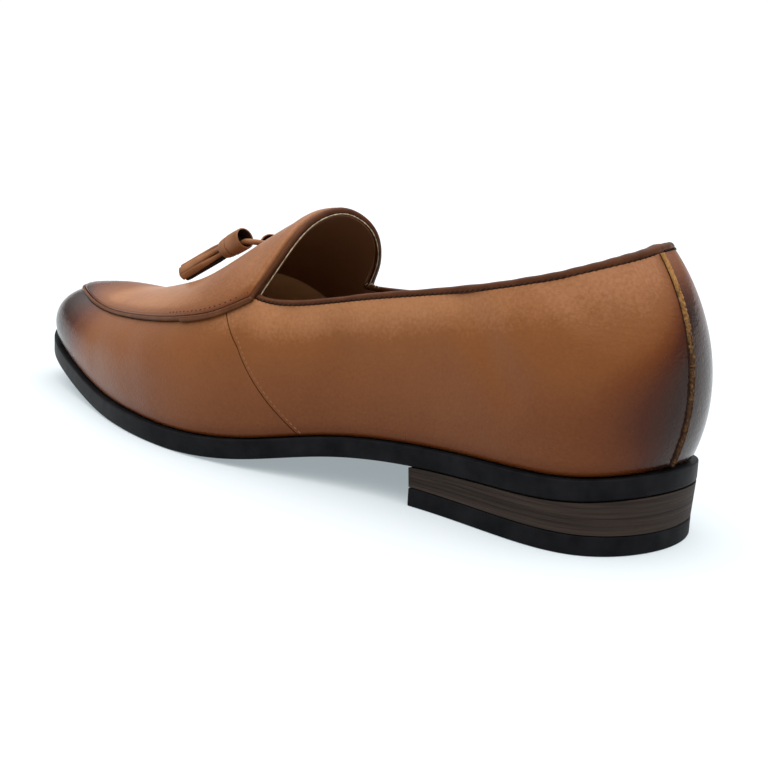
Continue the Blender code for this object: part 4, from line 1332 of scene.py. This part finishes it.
def add_bottom_stock():
    """Outsole, stacked heel, top lift and sock."""
    heel_angle = float(angle_of(HEEL_LENGTH))
    arc = np.linspace(0.0, math.pi / 2.0, SOLE_ARC_STEPS)
    levels = [(SOLE_ROUND * (1.0 - math.sin(a)), over(under_z, SOLE_ROUND * (1.0 - math.cos(a))))
              for a in arc]
    levels += [(SOLE_LIP * (1.0 - math.cos(a)), over(sole_top_z, SOLE_LIP * (math.sin(a) - 1.0)))
               for a in arc]
    add_plate("sole_sheet", math.pi, levels, SOLE_BLACK, "sole_black", "outsole")
    levels = []
    for k in range(LAYER_COUNT):
        for part, groove in LAYER_PROFILE:
            share = (k + part) / LAYER_COUNT
            levels.append((HEEL_DRAFT * (1.0 - share) + HEEL_TOP_INSET * share + groove, layer_z(share)))
    levels.append((HEEL_TOP_INSET, layer_z(1.0)))
    add_plate("heel_layers", heel_angle, levels, HEEL_STACK, "heel_stack", "heel_stack")
    levels = [(HEEL_DRAFT + inset, over(np.zeros_like, z)) for inset, z in LIFT_PROFILE]
    add_plate("heel_lift", heel_angle, levels, LIFT_BLACK, "lift_black", "top_lift")
    inside = SOLE_LEDGE + WALL + 2.0 * GAP
    levels = [(inside + inset, over(sole_top_z, GAP + z)) for inset, z in SOCK_PROFILE]
    add_plate("sock", math.pi, levels, SOCK_LEATHER, "sock_leather", "insole")


# Tassels

BARREL_LENGTH = 12.0
BARREL_RADIUS = 3.95
BARREL_BORE = 3.35
BARREL_RECESS = 5.0
BARREL_FACETS = 56
# Turned outline of the barrel from its open end: distance along it and change of radius
BARREL_PROFILE = (
    (0.0, -0.45), (0.12, -0.18), (0.4, -0.03), (0.9, 0.0), (3.5, 0.05), (6.9, 0.0), (7.1, -0.10),
    (7.2, -0.5), (7.6, -0.5), (7.75, -0.18), (9.2, -0.22), (10.6, -0.38), (11.5, -0.6), (BARREL_LENGTH, -1.0),
)
BARREL_LIP = 0.15
# Turned outline of the dark cup of painted shade in the bore: distance along the barrel and radius
BORE_PROFILE = (
    (BARREL_RECESS - 0.5, 0.0), (BARREL_RECESS - 0.5, BARREL_BORE - 0.3), (0.6, BARREL_BORE - 0.2),
    (0.3, BARREL_BORE + 0.02), (BARREL_RECESS - 0.1, BARREL_BORE + 0.02), (BARREL_RECESS - 0.1, 0.0),
)
# Strips: an outer ring and a core, each with its number of strips, first angle, ring radius and width
STRIP_RINGS = ((6, -1.24, 2.65, 3.0), (3, -0.74, 0.85, 1.6))
STRIP_CORE = 1.0
STRIP_THICKNESS = 1.2
STRIP_LAP = 2.5
STRIP_SIDES = 14
STRIP_STEPS = 15
STRIP_SQUARE = 0.45
STRIP_SEEDS = {"lateral": 11, "medial": 23}
# How much the strips differ: in angle, in length, and outwards and sideways at their ends
STRIP_TURN = 0.05
STRIP_SHORT = 1.6
STRIP_SPLAY = 0.15
STRIP_DRIFT = 0.3
# How far the strips are drawn in at the barrel and until where, and their width there and where it is full
STRIP_WAIST = 0.35
STRIP_WAIST_END = 0.3
STRIP_SLIM = 0.56
STRIP_SLIM_SHARE = (0.15, 0.8)
STRIP_BOW = 0.5
# Strips that face down more than this, and the core, take dark leather as painted shade
UNDERSIDE = -0.7
LACE_STEPS = 80
LACE_SIDES = 12


def tassel_frame(start, end):
    """Directions along, across and above a tassel."""
    axis = unit(end - start)
    across = unit(np.cross(axis, (0.0, 0.0, 1.0)))
    return axis, across, np.cross(across, axis)


def add_turned(name, start, axes, profile, *about):
    """A turned solid about a tassel's axis: places along it and radii, out from the axis and back to it."""
    axis, across, above = axes
    angle = 2.0 * math.pi * np.arange(BARREL_FACETS) / BARREL_FACETS
    circle = np.cos(angle)[:, None] * above + np.sin(angle)[:, None] * across
    place, radius = np.array(profile).T
    points = start + place[:, None, None] * axis + radius[:, None, None] * circle
    add_piece(name, points, ring_faces(len(profile), BARREL_FACETS, capped=False), *about)


def add_barrel(name, start, axes):
    """A barrel of rolled leather, stepped where it is wrapped, hollow, with a cup of painted shade in its
    open end.
    """
    outside = [(place, BARREL_RADIUS + change) for place, change in BARREL_PROFILE]
    bore = [(BARREL_RECESS, 0.0), (BARREL_RECESS, BARREL_BORE), (BARREL_LIP, BARREL_BORE)]
    profile = [*bore, *outside, (BARREL_LENGTH, 0.0)]
    node = "tassel_" + name
    add_turned("tassel_barrel_" + name, start, axes, profile, TASSEL_LEATHER, "tassel_leather", node)
    # dark cup of painted shade inside the bore
    add_turned("tassel_bore_shade_" + name, start, axes, BORE_PROFILE, DARK_THREAD_AND_SHADE, "tassel_leather", node)


def add_strips(name, start, end, axes):
    """The tassel's leather strips, each a flat curved ribbon, in an outer ring and a core."""
    axis, across, above = axes
    rng = np.random.default_rng(STRIP_SEEDS[name])
    length = np.linalg.norm(end - start)
    steps = np.linspace(0.0, 1.0, STRIP_STEPS)[:, None]
    profile = 2.0 * math.pi * (np.arange(STRIP_SIDES) + 0.5) / STRIP_SIDES
    round_profile = np.stack([np.cos(profile), np.sin(profile)], -1)
    square = np.sign(round_profile) * np.abs(round_profile) ** STRIP_SQUARE / 2.0
    plans = [(first + k * 2.0 * math.pi / count, ring, breadth)
             for count, first, ring, breadth in STRIP_RINGS for k in range(count)]
    blocks = {True: ([], []), False: ([], [])}
    for angle, ring, breadth in plans:
        angle = angle + rng.uniform(-STRIP_TURN, STRIP_TURN)
        radial = math.cos(angle) * above + math.sin(angle) * across
        around = math.cos(angle) * across - math.sin(angle) * above
        reach = length - rng.uniform(0.0, STRIP_SHORT)
        place = BARREL_LENGTH - STRIP_LAP + (reach - BARREL_LENGTH + STRIP_LAP) * steps
        radius = ring - STRIP_WAIST * (1.0 - smooth(steps, 0.0, STRIP_WAIST_END))
        radius = radius + rng.uniform(-STRIP_SPLAY, STRIP_SPLAY) * steps ** 2
        drift = rng.uniform(-STRIP_DRIFT, STRIP_DRIFT) * steps ** 2
        middle = start + place * axis + radius * radial + drift * around
        width = breadth * (STRIP_SLIM + (1.0 - STRIP_SLIM) * smooth(steps, *STRIP_SLIM_SHARE))
        bow = square[:, 1] ** 2 * breadth * STRIP_BOW
        rings = (middle[:, None] + (square[None, :, 0:1] * STRIP_THICKNESS - bow[None, :, None]) * radial
                 + square[None, :, 1:2] * width[:, None] * around)
        # core and downward strips take the dark leather of painted shade
        points, faces = blocks[bool(ring < STRIP_CORE or radial[2] < UNDERSIDE)]
        faces += ring_faces(STRIP_STEPS, STRIP_SIDES, first=STRIP_STEPS * STRIP_SIDES * len(points))
        points.append(rings.reshape(-1, 3))
    for shaded, piece, material in ((False, "strips_", TASSEL_LEATHER), (True, "painted_shade_", TASSEL_SHADE)):
        points, faces = blocks[shaded]
        add_piece("tassel_" + piece + name, np.concatenate(points), faces, material, "tassel_leather",
                  "tassel_" + name)


def add_tassels():
    """Both tassels and the lace that joins them."""
    for name, (start, end) in TASSELS.items():
        start, end = np.array(start), np.array(end)
        axes = tassel_frame(start, end)
        add_barrel(name, start, axes)
        add_strips(name, start, end, axes)
    knots = np.arange(len(LACE_ROUTE))
    fine = np.linspace(0.0, len(LACE_ROUTE) - 1.0, LACE_STEPS)
    line = np.stack([spline(knots, places)(fine) for places in np.array(LACE_ROUTE).T], -1)
    add_tube("lace", line, LACE_RADIUS, LACE_SIDES, TASSEL_LEATHER, "tassel_leather", "tassel_tie")


add_quarters()
add_vamp()
add_apron()
add_linings()
add_piping()
add_binding()
add_back_seam()
add_stitch_lines()
add_throat_edge()
add_throat_facing()
add_raw_ends()
add_holes()
add_bottom_stock()
add_tassels()


# Floor, light and camera

FLOOR_RADIUS = 6.0
FLOOR_SEGMENTS = 64
FLOOR_COLOUR = (0.37, 0.38, 0.39)
# Faint bluish glow of the floor: painted light that lifts the shadows cast on it
FLOOR_GLOW = (0.83, 0.95, 1.0)
FLOOR_GLOW_STRENGTH = 0.38
# Strength of the light at the horizon, in the lower room and overhead, and the heights where it changes
HORIZON_LIGHT = 1.05
HORIZON_TOP = 0.10
ROOM_FROM = 0.14
ROOM_LIGHT = 0.22
ZENITH_LIGHT = 3.35
# Camera in metres and degrees, with its lens in millimetres
CAMERA_PLACE = (0.35247, -0.31533, 0.11938)
CAMERA_AZIMUTH = 44.92
CAMERA_ELEVATION = 11.62
CAMERA_ROLL = 3.20
CAMERA_LENS = 64.78


def add_floor():
    """A wide plain pale floor that glows faintly: painted light that lifts the shadows on it."""
    shape = bmesh.new()
    bmesh.ops.create_circle(shape, cap_ends=True, segments=FLOOR_SEGMENTS, radius=FLOOR_RADIUS)
    mesh = bpy.data.meshes.new("floor")
    shape.to_mesh(mesh)
    shape.free()
    material, tree, shader, _ = new_material("floor", roughness=0.7, shine=0.1)
    set_inputs(tree, shader, Base_Color=(*FLOOR_COLOUR, 1.0), Emission_Color=(*FLOOR_GLOW, 1.0),
               Emission_Strength=FLOOR_GLOW_STRENGTH)
    mesh.materials.append(material)
    floor = bpy.data.objects.new("floor", mesh)
    bpy.context.scene.collection.objects.link(floor)


def add_light():
    """White studio light: brightest overhead, dimmer lower down, with a white backdrop round the horizon."""
    world = bpy.data.worlds.new("studio")
    world.use_nodes = True
    tree = world.node_tree
    place = add_node(tree, "TexCoord").outputs["Generated"]
    height = add_node(tree, "SeparateXYZ", Vector=place).outputs["Z"]
    low = add_node(tree, "MapRange", Value=height, From_Min=HORIZON_TOP, From_Max=ROOM_FROM,
                   To_Min=HORIZON_LIGHT, To_Max=ROOM_LIGHT)
    high = add_node(tree, "MapRange", Value=height, From_Min=ROOM_FROM, To_Min=low.outputs["Result"],
                    To_Max=ZENITH_LIGHT)
    for node in (low, high):
        node.interpolation_type = "SMOOTHSTEP"
    set_inputs(tree, tree.nodes["Background"], Color=(1.0, 1.0, 1.0, 1.0), Strength=high.outputs["Result"])
    bpy.context.scene.world = world


def add_camera():
    """Camera at the photograph's angle to the shoe."""
    data = bpy.data.cameras.new("camera")
    data.lens = CAMERA_LENS
    camera = bpy.data.objects.new("camera", data)
    bpy.context.scene.collection.objects.link(camera)
    turn = Euler((math.radians(90.0 - CAMERA_ELEVATION), 0.0, math.radians(CAMERA_AZIMUTH))).to_matrix()
    turn = turn @ Matrix.Rotation(math.radians(CAMERA_ROLL), 3, "Z")
    camera.matrix_world = Matrix.Translation(CAMERA_PLACE) @ turn.to_4x4()
    bpy.context.scene.camera = camera


add_floor()
add_light()
add_camera()
bpy.context.scene.view_settings.view_transform = "Standard"
